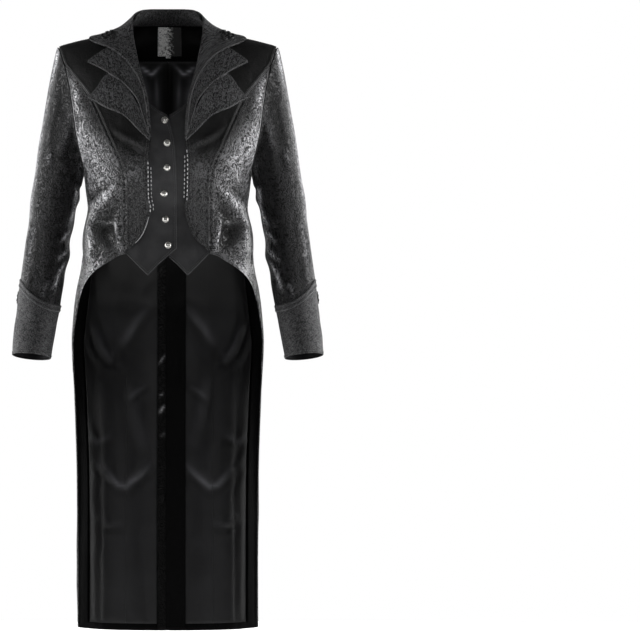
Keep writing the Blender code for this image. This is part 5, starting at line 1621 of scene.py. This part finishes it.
for side, tag in ((1, "left"), (-1, "right")):
    collarLines, cuffLines = [], []
    for shape in ornamentLines():
        row = curlForm["collarRow"] - shape[:, 0] * curlForm["collarSize"] / curlForm["rowLength"]
        share = curlForm["collarShare"] + shape[:, 1] * curlForm["collarSize"] * 0.8 / curlForm["fall"]
        normal = surfaceNormal(collarPoint, row, share)
        normal *= np.sign(normal[:, 2:3])
        collarLines.append(mirrored(collarPoint(row, share) + curlForm["collarOut"] * normal, side))
        row = curlForm["cuffRow"] - shape[:, 0] * curlForm["cuffSize"] / curlForm["cuffRowLength"]
        turn = math.radians(curlForm["cuffDegrees"]) + shape[:, 1] * curlForm["cuffSize"] / curlForm["cuffRadius"]
        cuffLines.append(mirrored(sleevePoint(row, turn, curlForm["cuffOut"]), side))
    makeTubes(f"collarOrnament.{tag}", collarLines, curlForm["radius"] * 1.5, trim, [f"collar_curl_{tag}"])
    makeTubes(f"cuffOrnament.{tag}", cuffLines, curlForm["radius"], trim, [f"cuff_curl_{tag}"])
print("ornaments made")


# top-stitching and piping

def sew(name, rows, material=None):
    # a row is a cloth, its edge and how far inside that edge the stitches run
    makeStitches(name, [insetLine(cloths[key], edge, inset, 0.0002) for key, edge, inset in rows], material)


bothSides, twoRows = ("left", "right"), (0.0022, 0.0062)
lapelRows = [((name, tag), edge, inset) for tag in bothSides for name in ("lapelsecond", "lapelthird")
             for inset in twoRows for edge in ("top", "right")]
sew("lapelStitches", lapelRows + [("collar", "right", inset) for inset in twoRows], lapelThread)
vestRows = [(("vest", tag), edge, inset) for tag in bothSides for edge in ("top", "bottom")
            for inset in (0.0024, 0.0064)]
sew("waistcoatStitches", vestRows + [(("vest", "right"), "left", inset) for inset in (0.0024, 0.0064)])
seamRows = []
for tag in bothSides:
    seamRows += [((name, tag), edge, inset) for name, edge, inset in (
        ("front", "right", 0.0048), ("side_front", "left", 0.0048), ("back", "left", 0.0048), ("back", "right", 0.0048),
        ("side_back", "left", 0.0048), ("front", "left", 0.003), ("front", "left", 0.007),
        ("side_front", "bottom", 0.004),
        ("band", "top", 0.0026), ("band", "bottom", 0.0026), ("cuff", "bottom", 0.005))]
    seamRows += [(("strap", tag, level), edge, 0.0024) for level in strapForm["levels"] for edge in ("top", "bottom")]
sew("seamStitches", seamRows)
# pale beads along the front edges and beside them on the waistcoat: painted glints
glintBeadLook = {"spacing": 0.0072, "length": 0.0064, "radius": 0.00085, "sunk": 0.0002}
glintBeads, smoothEdge = [], []
for tag in bothSides:
    line, sides = insetLine(cloths["front", tag], "left", 0.001, 0.0003)
    begin, end = (-0.218, -0.322) if tag == "left" else (-0.24, -0.345)
    upper = (line[:, 2] < begin) & (line[:, 2] > end)
    lower = (line[:, 2] <= end) & (line[:, 2] > -0.398)
    glintBeads.append((line[upper], sides[upper]))
    smoothEdge.append((tag, line[lower]))
    z = np.linspace(begin - 0.012, end + 0.004, 60)
    x = np.interp(z, line[::-1, 2], np.abs(line[::-1, 0])) - 0.0052
    beside = mirrored(onChest(x, z, 0.0003 - vestForm["drop"]), 1 if tag == "left" else -1)
    glintBeads.append((beside, np.tile([0.0, -1.0, 0.0], (len(z), 1))))
makeStitches("frontEdgeGlintBeads", glintBeads, paintedGlintCord, glintBeadLook)
# the wearer's right front edge gets a pale cord, a painted glint line; the left one a black braid
for tag, line in smoothEdge:
    makeTubes(f"frontEdgeCord.{tag}", [line], 0.00055, paintedGlintCord if tag == "right" else trim)
liningSeams = [insetLine(cloths["lining", tag], "left", 0.0595, -0.0014) for tag in bothSides]
liningSeams = [(line[line[:, 2] < -0.64], sides[line[:, 2] < -0.64]) for line, sides in liningSeams]
makeStitches("liningSeams", liningSeams, trim, {**stitchLook, "length": 0.0028, "radius": 0.00042})
labelEdges = [insetLine(labelCloth, edge, 0.0016, -0.0014) for edge in ("left", "right", "top", "bottom")]
makeStitches("labelStitches", labelEdges)

pipingLook = {"radius": 0.0006, "lift": 0.0003}
for tag in bothSides:
    edges = []
    for name, edge, inset, top, bottom in (
        ("front", "right", 0.0016, -0.07, -0.135), ("side_front", "left", 0.0016, -0.07, -0.135),
        ("front", "right", 0.0016, -0.036, -0.066), ("side_front", "right", 0.0016, -0.072, -0.125),
    ):
        line, sides = insetLine(cloths[name, tag], edge, inset, pipingLook["lift"])
        edges.append(line[(line[:, 2] < top) & (line[:, 2] > bottom)])
    makeTubes(f"seamPiping.{tag}", edges, pipingLook["radius"], pipingCord)
    # a piping cord along the armhole seam, its pale colour a painted highlight
    line, sides = insetLine(cloths["side_front", tag], "right", 0.0012, pipingLook["lift"])
    shown = (line[:, 2] < -0.1) & (line[:, 2] > -0.255)
    makeTubes(f"armholePipingHighlight.{tag}", [line[shown]], pipingLook["radius"], paintedGlintCord)
    line, sides = insetLine(cloths["band", tag], "bottom", 0.0004, 0.0002)
    makeTubes(f"cuffPiping.{tag}", [np.concatenate([line, line[:1]])], 0.00045, pipingCord)
print("stitching made")


# stage, light and camera

stageLook = {"floor": -1.1215, "radius": 1.6, "colour": (0.86, 0.86, 0.86), "glow": 0.8, "room": 0.13}
floorShape = bmesh.new()
bmesh.ops.create_circle(floorShape, cap_ends=True, segments=128, radius=stageLook["radius"])
bmesh.ops.translate(floorShape, verts=floorShape.verts, vec=(0, 0, stageLook["floor"]))
floor = pieceFrom("studioFloor", floorShape)
paper, paperShader = startMaterial("palePaper", {"colour": stageLook["colour"], "roughness": 0.9, "specular": 0.1})
paperShader.inputs["Emission Color"].default_value = (1, 1, 1, 1)
paperShader.inputs["Emission Strength"].default_value = stageLook["glow"]
floor.data.materials.append(paper)

# the room is white to look at and dim as a light, as round a product table
world = bpy.data.worlds.new("studio")
bpy.context.scene.world = world
world.use_nodes = True
room = world.node_tree.nodes["Background"]
room.inputs["Color"].default_value = (1, 1, 1, 1)
seen = addNode(world, "ShaderNodeLightPath")
strength = addNode(world, "ShaderNodeMapRange", {"To Min": stageLook["room"], "To Max": 1.0})
join(seen, "Is Camera Ray", strength, "Value")
join(strength, "Result", room, "Strength")

def hang(name, data, spot):
    holder = bpy.data.objects.new(name, data)
    bpy.context.scene.collection.objects.link(holder)
    holder.location = spot
    return holder


lampForm = {
    "leftBox": ((-2.0, 0.05, -0.35), (1.3, 2.3), 82),
    "rightBox": ((2.0, 0.05, -0.35), (1.3, 2.3), 82),
    "frontFill": ((0.0, -4.6, 0.9), (2.4, 1.6), 17),
    "backLeft": ((-1.9, 2.4, -0.2), (1.0, 2.2), 30),
    "backRight": ((1.9, 2.4, -0.2), (1.0, 2.2), 30),
}
for name, (spot, size, power) in lampForm.items():
    lamp = bpy.data.lights.new(name, "AREA")
    lamp.shape, lamp.size, lamp.size_y, lamp.energy = "RECTANGLE", size[0], size[1], power
    aim = Vector((0, 0, -0.35)) - Vector(spot)
    hang(name, lamp, spot).rotation_euler = aim.to_track_quat("-Z", "Y").to_euler()

cameraForm = {"lens": 1210.9, "distance": 40.0, "height": -0.5394, "yaw": math.radians(0.4051)}
lensData = bpy.data.cameras.new("camera")
lensData.lens, lensData.sensor_width = cameraForm["lens"], 36
lensData.clip_end = 120
camera = hang("camera", lensData, (0, -cameraForm["distance"], cameraForm["height"]))
camera.rotation_euler = (math.pi / 2, 0, -cameraForm["yaw"])
bpy.context.scene.camera = camera
bpy.context.scene.view_settings.view_transform = "Standard"
print("stage made")
